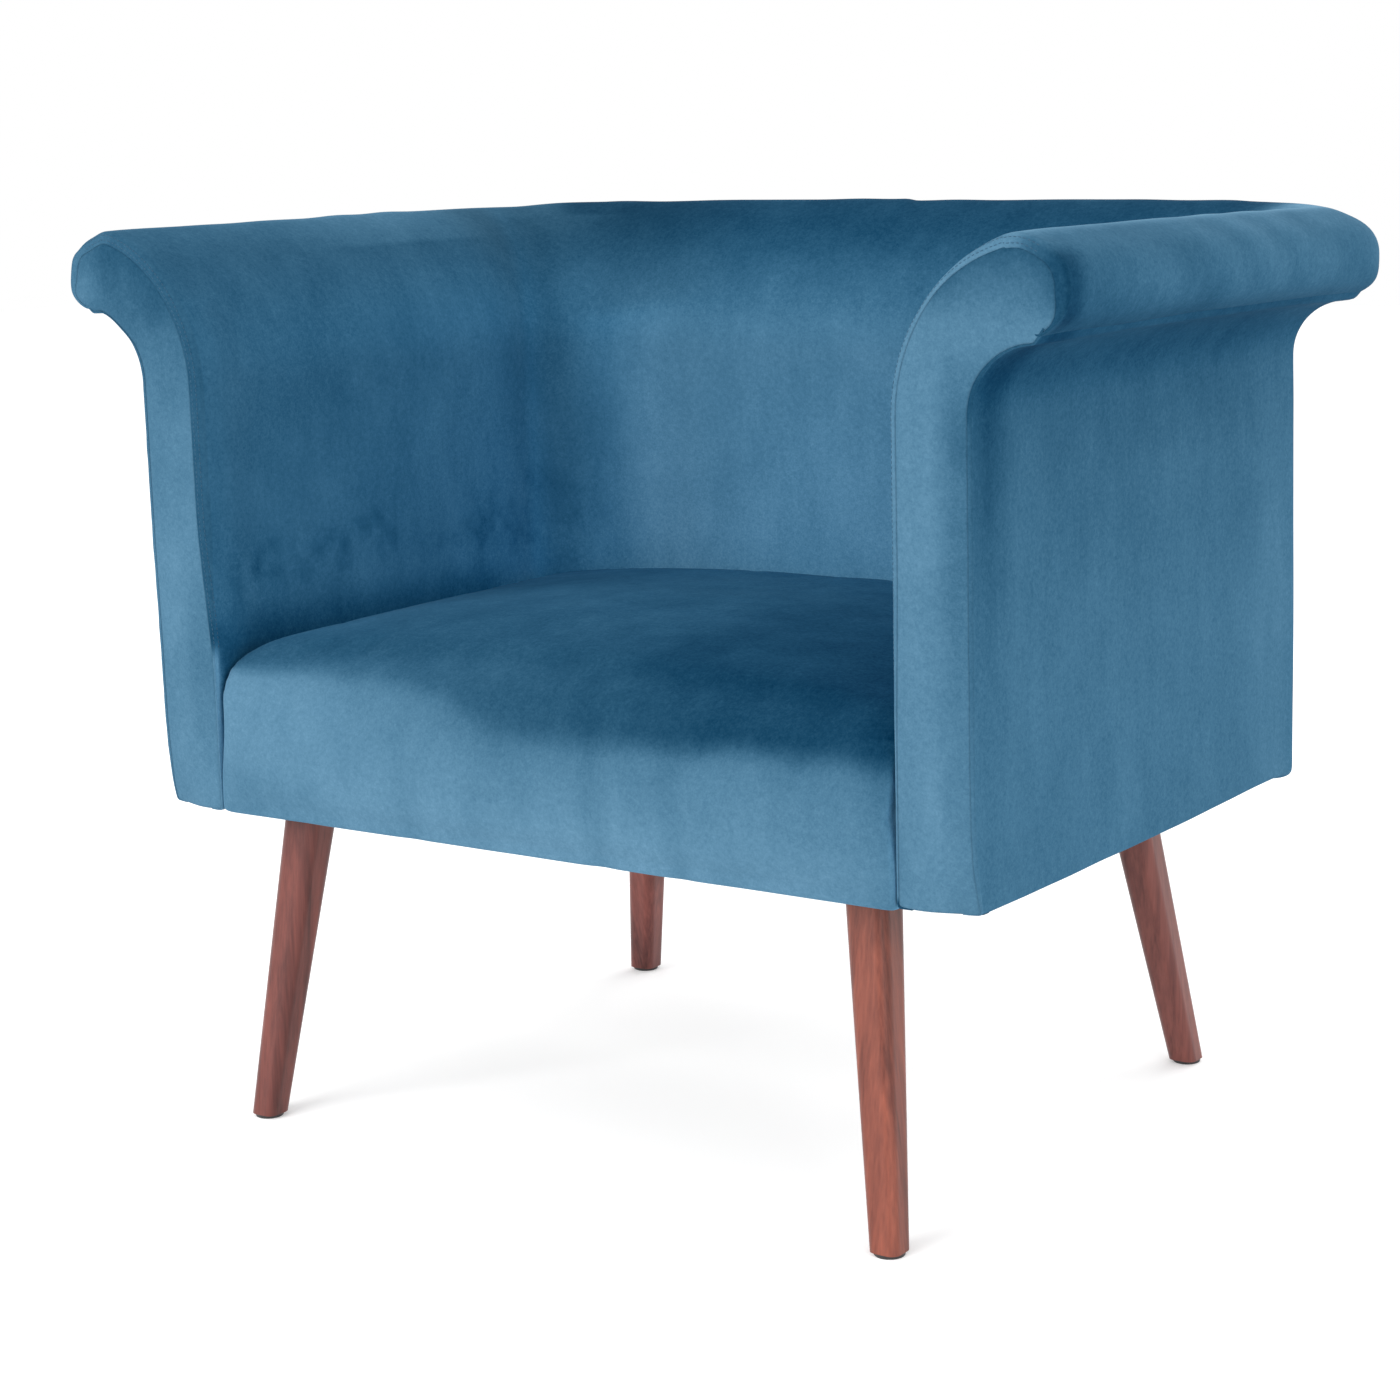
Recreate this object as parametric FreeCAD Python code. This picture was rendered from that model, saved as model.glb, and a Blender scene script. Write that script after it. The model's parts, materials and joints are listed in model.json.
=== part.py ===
"""Rolled-arm upholstered armchair on four splayed, tapered wooden legs.

Frame: origin on the floor, under the centre of the chair's outer box. +X is the sitter's left,
+Y runs from the front of the seat to the back, +Z is up. Every length is in millimetres.

Arms and back share one section: a flat inside face that flares outward near the top and ends in
a round roll. (u, z) are that section's own coordinates: u = 0 on the inside face, growing outward.
"""

import FreeCAD
import Part

import math
import os

V = FreeCAD.Vector

# ---------------------------------------------------------------- driving dimensions
BODY_W = 760.0            # over the outside faces of both arms, below the rolls
BODY_D = 520.0            # front facing to outside back, below the rolls
WALL = 62.0               # arm and back thickness, cover to cover
LEG_H = 262.0             # floor to the underside of the body
FLARE_Z = 598.0           # height where the inside face starts to flare
FLARE_R = 130.0           # radius of the flare
ROLL_U, ROLL_Z = 98.0, 686.0   # centre of the roll
UNDER_Z = 602.0           # height where the outside face starts to turn under the roll
UNDER_R = 47.0            # radius of that hollow turn
ROLL_END = -65.0          # angle where the roll's cover meets the outside cover, degrees
CORNER_U = 48.0           # the back corners turn about a vertical line this far into the wall

COVER = 2.0               # velvet with its backing
FOAM = 20.0               # foam over arms, back and rolls
FORMER = 3.0              # bent fibreboard under that foam
BATTING = 2.0             # wadding under the outside covers
OUT_BOARD = 3.0           # fibreboard under the wadding
FACING_FOAM = 16.0        # foam on the front ends of the arms
PLY = 18.0                # plywood scroll boards
RAIL_H = 60.0             # seat rails, height
TOP_RAIL_H = 44.0         # rails at the height of the flare
DUST = 1.0                # dust cover

SEAT_SIDE_Z = 386.0       # seat surface beside the arms
SEAT_CROWN_Z = 410.0      # seat surface on the centre line
SEAT_FRONT_R = 34.0       # rounding of the seat's front edge
FELT = 3.0                # insulator pad over the springs

LEG_TOP_W, LEG_FOOT_W = 36.0, 24.5   # rounded square legs, over the flats
LEG_ROUND = 0.3           # corner radius over width
FRONT_FOOT = (299.0, 15.0)     # half spacing in X, distance behind the front face
REAR_FOOT = (284.0, -2.6)      # half spacing in X, distance in front of the outside back
FRONT_SPLAY = (32.0, 37.0)     # how far a foot stands outward of its leg's top, in X and Y
REAR_SPLAY = (41.0, 39.0)
GLIDE_H = 3.0
GLIDE_R = 11.5
BOLT_R = 4.0
BOLT_IN_LEG, BOLT_IN_BLOCK = 45.0, 30.0
BLOCK_H, BLOCK_REACH, BLOCK_END = 42.0, 118.0, 30.0

SPRINGS = 5
SPRING_WIRE_R = 1.8
SPRING_PITCH = 112.0      # between springs, in X
SPRING_LOOP_W = 44.0      # width of the zigzag
SPRING_LOOPS = 17
SPRING_END_GAP = 12.0     # rail face to the centre of a spring's end bar
CLIP_HALF = 9.0           # spring clips, half their square plate
CLIP_FLOOR = 1.2          # steel under the spring's wire
CLIP_ROOF = 0.7           # steel over it
CLIP_PLAY = 0.2           # between the wire and the clip's roof
CLIP_SLOT_HALF = 2.2
CLIP_OPENING = 14.0       # length of a clip's open side
TIE_WIRE_R = 1.2
TIE_WIRE_DROP = 3.2       # under the springs' centre plane
TIE_WIRE_Y = (-110.0, 35.0)
TIE_WIRE_GAP = 30.0       # from the wire's end to the inside face of the arm

CENTRE_RAIL_HALF, CENTRE_RAIL_H = 20.0, 22.0
FLARE_GAP = 5.0           # top rails to the bent formers
FIT_GAP = 0.05            # clearance of a post against the turned panels
DOWEL_GAP = 0.4           # clearance of the dowels inside the bent formers
SEAT_GAP = 0.5            # clearance of the seat against arms and back
SEAT_SPARE = 4.0          # what the seat's side view and front view overlap by, before they are cut
PAD_GAP = 2.0             # clearance of the insulator pad

NUT_WALL = 1.5            # barrel of a T-nut
NUT_FLANGE = (1.5, 3.0)   # start and end of its flange, from the leg's top
NUT_LENGTH = 16.0
NUT_FLANGE_R = 10.0
GLIDE_ROUND = 1.0
SCREW_R, SCREW_HEAD_R = 2.2, 4.4
SCREW_LENGTH, SCREW_HEAD_H = 36.0, 3.0
SCREW_INSET_FRONT, SCREW_INSET_REAR = 14.0, 52.0   # inner screws, from a block's inner side
SCREW_INSET_SIDE = 34.0   # outer screws, from the seat rail
SCREW_INSET_END = 10.0    # every screw, from the front or back rail

STAPLE_SPACING = 46.0
STAPLE_HALF = 5.0
STAPLE_WIRE = 0.6
STAPLE_MARGIN = 7.0       # from the dust cover's edge
DUST_MARGIN, DUST_MARGIN_FRONT = 8.0, 10.0         # from the body's edge

MITRE_INNER, MITRE_OUTER = 10.0, 1.0   # how far a mitre cut runs past the wall and past its axis
FAR = 1000.0              # beyond everything

# ---------------------------------------------------------------- worked out from them
HALF_IN = BODY_W / 2 - WALL                    # X of the inside face of an arm
ROLL_R = FLARE_R - math.hypot(FLARE_R - ROLL_U, ROLL_Z - FLARE_Z)
FLARE_END = math.degrees(math.atan2(ROLL_Z - FLARE_Z, ROLL_U - FLARE_R))
TIP_U = ROLL_U + ROLL_R
FRONT_Y = -(BODY_D - WALL + TIP_U) / 2         # front face, so that the box is centred on Y = 0
BACK_Y = FRONT_Y + BODY_D                      # outside back, below the roll
BACK_IN = BACK_Y - WALL                        # inside face of the back
FRAME_Z = LEG_H + DUST
LAYER_IN = COVER + FOAM + FORMER               # inside face to the frame
LAYER_OUT = COVER + BATTING + OUT_BOARD        # outside face to the frame
FRAME_X0, FRAME_X1 = HALF_IN + LAYER_IN, BODY_W / 2 - LAYER_OUT
FRAME_Y0, FRAME_Y1 = BACK_IN + LAYER_IN, BACK_Y - LAYER_OUT
BOARD_Y0 = FRONT_Y + COVER + FACING_FOAM       # front of the front scroll boards
RAIL_FRONT_Y, RAIL_BACK_Y = BOARD_Y0 + PLY, FRAME_Y1 - PLY   # inner faces of the end seat rails
AXIS_X, AXIS_Y = HALF_IN + CORNER_U, BACK_IN + CORNER_U
SPRING_Z = FRAME_Z + RAIL_H + 2 * SPRING_WIRE_R
FELT_Z = SPRING_Z + SPRING_WIRE_R + 1.0
SEAT_Z = FELT_Z + FELT
SPRING_ENDS_Y = (BOARD_Y0 + SPRING_END_GAP, FRAME_Y1 - SPRING_END_GAP)


# ---------------------------------------------------------------- small helpers
def box(x0, x1, y0, y1, z0, z1):
    return Part.makeBox(x1 - x0, y1 - y0, z1 - z0, V(x0, y0, z0))


def mirrored(shape):
    return shape.mirror(V(0, 0, 0), V(1, 0, 0))


def prism(points, z0, z1):
    """A vertical prism over a polygon of (x, y) points."""
    ring = [V(x, y, z0) for x, y in points]
    return Part.Face(Part.makePolygon(ring + ring[:1])).extrude(V(0, 0, z1 - z0))


def save(node, shape):
    solids = shape.Solids
    assert solids and all(s.isValid() and s.Volume > 0 for s in solids), node
    out = solids[0] if len(solids) == 1 else Part.makeCompound(solids)
    out.exportStep(os.path.join("parts", node + ".step"))


# ---------------------------------------------------------------- the shared section
def polar(centre, radius, degrees):
    a = math.radians(degrees)
    return centre[0] + radius * math.cos(a), centre[1] + radius * math.sin(a)


def arc(centre, radius, start, end):
    """(start, middle, end) points of an arc in the section."""
    return [polar(centre, radius, d) for d in (start, (start + end) / 2, end)]


def inside_curve(depth, z0, roll_end=ROLL_END):
    """Line, flare and roll, this deep under the inside cover's surface, from z0 to the roll's end."""
    return [
        [(depth, z0), (depth, FLARE_Z)],
        arc((FLARE_R, FLARE_Z), FLARE_R - depth, 180.0, FLARE_END),
        arc((ROLL_U, ROLL_Z), ROLL_R - depth, FLARE_END, roll_end),
    ]


def outside_curve(depth, z0):
    """Outside face and the hollow turn under the roll, this deep under the outside cover's surface."""
    centre = (WALL + UNDER_R, UNDER_Z)
    return [
        [(WALL - depth, z0), (WALL - depth, UNDER_Z)],
        arc(centre, UNDER_R + depth, 180.0, 90.0),
    ]


def backward(pieces):
    return [list(reversed(p)) for p in reversed(pieces)]


def section(pieces, place):
    """Closed face through the pieces, joined by straight lines. place puts (u, z) into space."""
    edges = []
    for piece, after in zip(pieces, pieces[1:] + pieces[:1]):
        points = [place(*p) for p in piece]
        if len(points) == 2:
            edges.append(Part.LineSegment(*points).toShape())
        else:
            edges.append(Part.Arc(*points).toShape())
        start = place(*after[0])
        if points[-1].distanceToPoint(start) > 1e-6:
            edges.append(Part.LineSegment(points[-1], start).toShape())
    return Part.Face(Part.Wire(Part.__sortEdges__(edges)))


def inside_layer(top, bottom, z0):
    """Layer of the inside and roll between two depths."""
    return inside_curve(top, z0) + backward(inside_curve(bottom, z0))


def outside_layer(top, bottom, z0):
    return outside_curve(top, z0) + backward(outside_curve(bottom, z0))


def outline(inside_depth, outside_depth, z0, roll_end=ROLL_END):
    """The whole section, from the inside face over the roll to the outside face."""
    return inside_curve(inside_depth, z0, roll_end) + backward(outside_curve(outside_depth, z0))


def on_arm(y):
    return lambda u, z: V(HALF_IN + u, y, z)


def on_back(x):
    return lambda u, z: V(x, BACK_IN + u, z)


def beyond_corner(face, arm):
    """The part of a section that turns round the back corner."""
    if arm:
        return face.common(box(AXIS_X, FAR, -FAR, FAR, 0, FAR))
    return face.common(box(-FAR, FAR, AXIS_Y, FAR, 0, FAR))


def turned(face, arm, angle):
    part = beyond_corner(face, arm)
    return [f.revolve(V(AXIS_X, AXIS_Y, 0), V(0, 0, 1), angle) for f in part.Faces]


def mitre(arm):
    """What the other side of the back corner takes from a straight run."""
    a, b = HALF_IN - MITRE_INNER, BACK_IN - MITRE_INNER
    far_x, far_y = AXIS_X + MITRE_OUTER, AXIS_Y + MITRE_OUTER
    third = (a, far_y) if arm else (far_x, b)
    return prism([(a, b), (far_x, far_y), third], 0, FAR)


def arm_run(pieces, y0):
    """A layer of the sitter's left arm from y0 back, round the corner to its mitre."""
    run = section(pieces, on_arm(y0)).extrude(V(0, AXIS_Y - y0, 0)).cut(mitre(True))
    for wedge in turned(section(pieces, on_arm(AXIS_Y)), True, 45.0):
        run = run.fuse(wedge)
    return run.removeSplitter()


def back_run(pieces):
    """A layer of the back between the two mitres."""
    run = section(pieces, on_back(-AXIS_X)).extrude(V(2 * AXIS_X, 0, 0))
    run = run.cut(mitre(False)).cut(mirrored(mitre(False)))
    for wedge in turned(section(pieces, on_back(AXIS_X)), False, -45.0):
        run = run.fuse(wedge).fuse(mirrored(wedge))
    return run.removeSplitter()


def save_pair(name, shape):
    """name holds {side}; shape is the sitter's left one."""
    save(name.format(side="left"), shape)
    save(name.format(side="right"), mirrored(shape))


# ---------------------------------------------------------------- soft layers and boards
def wall_layers():
    layers = [
        ("inside_cover", inside_layer(0, COVER, SEAT_Z), FRONT_Y + COVER),
        ("foam", inside_layer(COVER, COVER + FOAM, SEAT_Z), BOARD_Y0),
        ("roll_former", inside_layer(COVER + FOAM, LAYER_IN, SEAT_Z), BOARD_Y0),
        ("outside_cover", outside_layer(0, COVER, FRAME_Z), FRONT_Y + COVER),
        ("outside_batting", outside_layer(COVER, COVER + BATTING, FRAME_Z), BOARD_Y0),
        ("outside_board", outside_layer(COVER + BATTING, LAYER_OUT, FRAME_Z), BOARD_Y0),
    ]
    for name, pieces, y0 in layers:
        save_pair("{side}_arm_" + name, arm_run(pieces, y0))
        save("back_" + name, back_run(pieces))


def facings():
    """The padded front ends of the arms."""
    cover = section(outline(0, 0, FRAME_Z), on_arm(FRONT_Y)).extrude(V(0, COVER, 0))
    foam = section(outline(COVER, COVER, FRAME_Z), on_arm(FRONT_Y + COVER))
    save_pair("{side}_facing_cover", cover)
    save_pair("{side}_facing_foam", foam.extrude(V(0, FACING_FOAM, 0)))


# ---------------------------------------------------------------- wooden frame
def scroll_boards():
    pieces = outline(LAYER_IN, LAYER_OUT, FRAME_Z, -90.0)
    front = section(pieces, on_arm(BOARD_Y0)).extrude(V(0, PLY, 0))
    rear = section(pieces, on_arm(FRAME_Y0 - PLY)).extrude(V(0, PLY, 0))
    end = section(pieces, on_back(FRAME_X0 - PLY)).extrude(V(PLY, 0, 0))
    save_pair("{side}_arm_front_board", front)
    save_pair("{side}_arm_rear_board", rear)
    save("back_scroll_boards", Part.makeCompound([end, mirrored(end)]))


def rails():
    """Solid wood rails and posts between the plywood boards."""
    top = FRAME_Z + RAIL_H
    arm_y0, arm_y1 = BOARD_Y0 + PLY, FRAME_Y0 - PLY
    back_x = FRAME_X0 - PLY
    high = (FLARE_Z - TOP_RAIL_H / 2, FLARE_Z + TOP_RAIL_H / 2)
    post = (WALL - LAYER_OUT - CORNER_U) / math.sqrt(2) - FIT_GAP
    save_pair("{side}_seat_rail", box(FRAME_X0, FRAME_X1, arm_y0, arm_y1, FRAME_Z, top))
    save_pair("{side}_arm_top_rail", box(FRAME_X0 + FLARE_GAP, FRAME_X1, arm_y0, arm_y1, *high))
    save_pair(
        "{side}_rear_post",
        box(FRAME_X0, AXIS_X + post, FRAME_Y0, AXIS_Y + post, FRAME_Z, FLARE_Z),
    )
    save("front_seat_rail", box(-FRAME_X0, FRAME_X0, BOARD_Y0, RAIL_FRONT_Y, FRAME_Z, top))
    save("back_seat_rail", box(-back_x, back_x, RAIL_BACK_Y, FRAME_Y1, FRAME_Z, top))
    save("back_top_rail", box(-back_x, back_x, FRAME_Y0 + FLARE_GAP, FRAME_Y1, *high))
    half = CENTRE_RAIL_HALF
    centre = box(-half, half, RAIL_FRONT_Y, RAIL_BACK_Y, FRAME_Z, FRAME_Z + CENTRE_RAIL_H)
    save("seat_centre_rail", centre)


def roll_dowels():
    """Round rails inside the rolls, which the bent formers wrap round."""
    radius = ROLL_R - LAYER_IN - DOWEL_GAP
    y0, y1 = BOARD_Y0 + PLY, FRAME_Y0 - PLY
    x1 = FRAME_X0 - PLY
    arm = Part.makeCylinder(radius, y1 - y0, V(HALF_IN + ROLL_U, y0, ROLL_Z), V(0, 1, 0))
    back = Part.makeCylinder(radius, 2 * x1, V(-x1, BACK_IN + ROLL_U, ROLL_Z), V(1, 0, 0))
    save_pair("{side}_arm_roll_dowel", arm)
    save("back_roll_dowel", back)


# ---------------------------------------------------------------- legs
def leg_axes():
    """Top centre and foot centre of each leg, named."""
    out = {}
    ends = (
        ("front", FRONT_FOOT[0], FRONT_Y + FRONT_FOOT[1], FRONT_SPLAY[0], FRONT_SPLAY[1]),
        ("rear", REAR_FOOT[0], BACK_Y - REAR_FOOT[1], REAR_SPLAY[0], -REAR_SPLAY[1]),
    )
    for end, x, y, in_x, in_y in ends:
        for side, s in (("left", 1), ("right", -1)):
            out[end + "_" + side] = (V(s * (x - in_x), y + in_y, LEG_H), V(s * x, y, 0))
    return out


def rounded_square(centre, width):
    """Horizontal wire, width over the flats."""
    half, r = width / 2, width * LEG_ROUND
    edges = []
    for k in range(4):
        a = math.radians(90 * k)
        out, along_side = V(math.cos(a), math.sin(a), 0), V(-math.sin(a), math.cos(a), 0)
        flat = half - r
        start = centre + out * half - along_side * flat
        end = centre + out * half + along_side * flat
        pivot = centre + (out + along_side) * flat
        middle = pivot + (out + along_side).normalize() * r
        edges.append(Part.LineSegment(start, end).toShape())
        edges.append(Part.Arc(end, middle, pivot + along_side * r).toShape())
    return Part.Wire(edges)


def leg_solid(top, foot):
    """Tapered leg between horizontal cuts, its flats square to the chair."""
    low = foot + (top - foot) * (GLIDE_H / LEG_H)
    wires = [rounded_square(low, LEG_FOOT_W), rounded_square(top, LEG_TOP_W)]
    return Part.makeLoft(wires, True, True)


def along(top, foot, start, end, radius):
    """Cylinder on the leg's axis, start to end measured up from the leg's top."""
    axis = (top - foot).normalize()
    return Part.makeCylinder(radius, end - start, top + axis * start, axis)


def t_nut(top, foot):
    """Flange under the block and a barrel round the bolt."""
    barrel = along(top, foot, NUT_FLANGE[1], NUT_LENGTH, BOLT_R + NUT_WALL)
    flange = along(top, foot, *NUT_FLANGE, NUT_FLANGE_R)
    nut = barrel.fuse(flange).cut(along(top, foot, 0, BOLT_IN_BLOCK, BOLT_R))
    over_frame = box(-BODY_W, BODY_W, -BODY_W, BODY_W, FRAME_Z + FIT_GAP, FRAME_Z + RAIL_H)
    return nut.common(over_frame)


def legs():
    bolts, nuts, glides = [], [], []
    for name, (top, foot) in leg_axes().items():
        bolt = along(top, foot, -BOLT_IN_LEG, BOLT_IN_BLOCK, BOLT_R)
        save(name + "_leg", leg_solid(top, foot).cut(bolt))
        bolts.append(bolt)
        nuts.append(t_nut(top, foot))
        glides.append(glide(foot))
    save("leg_hanger_bolts", Part.makeCompound(bolts))
    save("leg_t_nuts", Part.makeCompound(nuts))
    save("foot_glides", Part.makeCompound(glides))
    return bolts, nuts


def glide(foot):
    disc = Part.makeCylinder(GLIDE_R, GLIDE_H, V(foot.x, foot.y, 0), V(0, 0, 1))
    rim = [e for e in disc.Edges if abs(e.BoundBox.ZMax) < 1e-6]
    return disc.makeFillet(GLIDE_ROUND, rim)


def leg_blocks(bolts, nuts):
    """Corner blocks that carry the legs, with the screws that hold them from below."""
    z1 = FRAME_Z + BLOCK_H
    x0, x1 = FRAME_X0 - BLOCK_REACH, FRAME_X0
    blocks, screws = [], []
    ends = (
        (RAIL_FRONT_Y, 1, x0 + SCREW_INSET_FRONT),
        (RAIL_BACK_Y, -1, x0 + SCREW_INSET_REAR),
    )
    for rail_y, way, inner in ends:
        blocks.append(prism([
            (x1, rail_y), (x0, rail_y), (x0, rail_y + way * BLOCK_END),
            (x1 - BLOCK_END, rail_y + way * BLOCK_REACH), (x1, rail_y + way * BLOCK_REACH),
        ], FRAME_Z, z1))
        for x in (inner, x1 - SCREW_INSET_SIDE):
            foot = V(x, rail_y + way * SCREW_INSET_END, FRAME_Z)
            screw = Part.makeCylinder(SCREW_R, SCREW_LENGTH, foot, V(0, 0, 1))
            head = Part.makeCone(SCREW_HEAD_R, SCREW_R, SCREW_HEAD_H, foot, V(0, 0, 1))
            screws.append(screw.fuse(head).removeSplitter())
    rear_corner = box(FRAME_X0 - PLY, x1, FRAME_Y0, FRAME_Y1, FRAME_Z, z1)
    blocks[1] = blocks[1].cut(rear_corner)
    screws += [mirrored(s) for s in screws]
    blocks += [mirrored(b) for b in blocks]
    cut = [block.cut(Part.makeCompound(bolts + nuts + screws)) for block in blocks]
    save("leg_corner_blocks", Part.makeCompound([c.Solids[0] for c in cut]))
    save("corner_block_screws", Part.makeCompound(screws))


# ---------------------------------------------------------------- seat
def zigzag(x):
    """One sinuous spring, lying flat: straight bars joined by half circles."""
    y0, y1 = SPRING_ENDS_Y
    step = (y1 - y0) / SPRING_LOOPS
    r, half = step / 2, SPRING_LOOP_W / 2 - step / 2
    edges, y, side = [], y0, 1
    for _ in range(SPRING_LOOPS):
        a, b = V(x - side * half, y, SPRING_Z), V(x + side * half, y, SPRING_Z)
        c, mid = V(x + side * half, y + step, SPRING_Z), V(x + side * (half + r), y + r, SPRING_Z)
        edges += [Part.LineSegment(a, b).toShape(), Part.Arc(b, mid, c).toShape()]
        y, side = y + step, -side
    last = V(x - side * half, y, SPRING_Z)
    edges.append(Part.LineSegment(last, V(x + side * half, y, SPRING_Z)).toShape())
    path = Part.Wire(edges)
    start = V(x - half, y0, SPRING_Z)
    ring = Part.Wire(Part.makeCircle(SPRING_WIRE_R, start, V(1, 0, 0)))
    return path.makePipeShell([ring], True, True)


def spring_clip(x, y):
    """Folded steel clip that holds a spring's end bar down, open towards the seat's middle."""
    low = FRAME_Z + RAIL_H
    floor, roof = low + CLIP_FLOOR, SPRING_Z + SPRING_WIRE_R + CLIP_PLAY
    plate = box(x - CLIP_HALF, x + CLIP_HALF, y - CLIP_HALF, y + CLIP_HALF, low, roof + CLIP_ROOF)
    reach = CLIP_HALF + 1
    middle = y + CLIP_OPENING if y < 0 else y - CLIP_OPENING
    slot = box(x - reach, x + reach, y - CLIP_SLOT_HALF, y + CLIP_SLOT_HALF, floor, roof)
    opening = box(x - reach, x + reach, min(y, middle), max(y, middle), floor, roof)
    return plate.cut(slot.fuse(opening))


def springs():
    xs = [(i - (SPRINGS - 1) / 2) * SPRING_PITCH for i in range(SPRINGS)]
    save("sinuous_springs", Part.makeCompound([zigzag(x) for x in xs]))
    clips = [spring_clip(x, y) for x in xs for y in SPRING_ENDS_Y]
    save("spring_clips", Part.makeCompound(clips))
    start, z = TIE_WIRE_GAP - HALF_IN, SPRING_Z - TIE_WIRE_DROP
    wires = [
        Part.makeCylinder(TIE_WIRE_R, -2 * start, V(start, y, z), V(1, 0, 0)) for y in TIE_WIRE_Y
    ]
    save("spring_tie_wires", Part.makeCompound(wires))


def seat_section(drop):
    """Seat side view, this deep under the cover's surface."""
    x = -HALF_IN
    front, back = FRONT_Y + drop, BACK_IN - SEAT_GAP - drop
    top, r = SEAT_CROWN_Z + SEAT_SPARE - drop, SEAT_FRONT_R - drop
    corner = [(front, top - r), (front + r * (1 - math.sqrt(0.5)), top - r * (1 - math.sqrt(0.5))),
              (front + r, top)]
    points = [V(x, y, z) for y, z in corner]
    low, far, sill = V(x, front, FRAME_Z), V(x, back, top), V(x, back, SEAT_Z)
    step, heel = V(x, BOARD_Y0, SEAT_Z), V(x, BOARD_Y0, FRAME_Z)
    edges = [
        Part.LineSegment(low, points[0]).toShape(), Part.Arc(*points).toShape(),
        Part.LineSegment(points[2], far).toShape(), Part.LineSegment(far, sill).toShape(),
        Part.LineSegment(sill, step).toShape(), Part.LineSegment(step, heel).toShape(),
        Part.LineSegment(heel, low).toShape(),
    ]
    return Part.Face(Part.Wire(edges)).extrude(V(2 * HALF_IN, 0, 0))


def seat_arch(drop):
    """Seat front view: a shallow crown between the arms, this deep under the cover's surface."""
    half = HALF_IN - SEAT_GAP - drop
    y = FRONT_Y - SEAT_SPARE
    left, right = V(-half, y, SEAT_SIDE_Z - drop), V(half, y, SEAT_SIDE_Z - drop)
    edges = [
        Part.Arc(left, V(0, y, SEAT_CROWN_Z - drop), right).toShape(),
        Part.LineSegment(right, V(half, y, FRAME_Z)).toShape(),
        Part.LineSegment(V(half, y, FRAME_Z), V(-half, y, FRAME_Z)).toShape(),
        Part.LineSegment(V(-half, y, FRAME_Z), left).toShape(),
    ]
    return Part.Face(Part.Wire(edges)).extrude(V(0, BODY_D, 0))


def seat():
    outer = seat_section(0).common(seat_arch(0))
    foam = seat_section(COVER).common(seat_arch(COVER))
    save("seat_foam", foam)
    save("seat_cover", outer.cut(foam))
    pad_x, pad_y = HALF_IN - PAD_GAP, BACK_IN - PAD_GAP
    save("seat_insulator_pad", box(-pad_x, pad_x, BOARD_Y0, pad_y, FELT_Z, SEAT_Z))


# ---------------------------------------------------------------- underside
def staple(x, y, along_x):
    half_x, half_y = (STAPLE_HALF, STAPLE_WIRE) if along_x else (STAPLE_WIRE, STAPLE_HALF)
    return box(x - half_x, x + half_x, y - half_y, y + half_y, LEG_H - STAPLE_WIRE, LEG_H)


def dust_cover(bolts):
    x1 = BODY_W / 2 - DUST_MARGIN
    y0, y1 = FRONT_Y + DUST_MARGIN_FRONT, BACK_Y - DUST_MARGIN
    sheet = box(-x1, x1, y0, y1, LEG_H, LEG_H + DUST)
    save("dust_cover", sheet.cut(Part.makeCompound(bolts)))
    staples = []
    n_x, n_y = int(2 * x1 / STAPLE_SPACING), int((y1 - y0) / STAPLE_SPACING)
    for i in range(1, n_x):
        x = -x1 + 2 * x1 * i / n_x
        staples += [staple(x, y, True) for y in (y0 + STAPLE_MARGIN, y1 - STAPLE_MARGIN)]
    for j in range(1, n_y):
        y = y0 + (y1 - y0) * j / n_y
        staples += [staple(x, y, False) for x in (STAPLE_MARGIN - x1, x1 - STAPLE_MARGIN)]
    save("dust_cover_staples", Part.makeCompound(staples))


def main():
    os.makedirs("parts", exist_ok=True)
    wall_layers()
    facings()
    scroll_boards()
    rails()
    roll_dowels()
    bolts, nuts = legs()
    leg_blocks(bolts, nuts)
    springs()
    seat()
    dust_cover(bolts)
    print("roll radius %.2f, tip %.1f, front %.1f, back %.1f" % (ROLL_R, TIP_U, FRONT_Y, BACK_Y))


main()
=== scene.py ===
"""Velvet rolled-arm armchair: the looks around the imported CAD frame. Metres, +Z up, front towards -Y."""

import json
import math

import bmesh
import bpy
import numpy as np
from mathutils import Matrix, Vector
from mathutils import noise
from mathutils.geometry import delaunay_2d_cdt


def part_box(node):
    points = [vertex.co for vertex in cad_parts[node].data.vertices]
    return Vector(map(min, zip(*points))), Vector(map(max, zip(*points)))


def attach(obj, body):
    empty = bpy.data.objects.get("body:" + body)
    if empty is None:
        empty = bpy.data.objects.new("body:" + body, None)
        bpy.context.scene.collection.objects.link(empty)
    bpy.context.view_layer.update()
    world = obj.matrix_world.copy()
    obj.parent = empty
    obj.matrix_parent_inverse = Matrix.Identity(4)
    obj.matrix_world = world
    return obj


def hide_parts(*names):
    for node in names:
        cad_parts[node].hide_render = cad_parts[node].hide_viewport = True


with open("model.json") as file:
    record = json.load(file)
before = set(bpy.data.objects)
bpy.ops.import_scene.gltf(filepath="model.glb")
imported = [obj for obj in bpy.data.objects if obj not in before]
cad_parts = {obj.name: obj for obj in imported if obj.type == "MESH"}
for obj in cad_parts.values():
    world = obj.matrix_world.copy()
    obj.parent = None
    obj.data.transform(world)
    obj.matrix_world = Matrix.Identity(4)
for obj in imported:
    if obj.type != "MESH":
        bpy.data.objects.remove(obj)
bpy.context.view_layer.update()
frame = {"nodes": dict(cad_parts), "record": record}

# ---------------- the frame's own places
HALF_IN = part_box("left_arm_inside_cover")[0][0]      # inside face of the sitter's left arm
BACK_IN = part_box("back_inside_cover")[0][1]          # inside face of the back
FRONT_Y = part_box("left_facing_cover")[0][1]          # front of the arms
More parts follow.
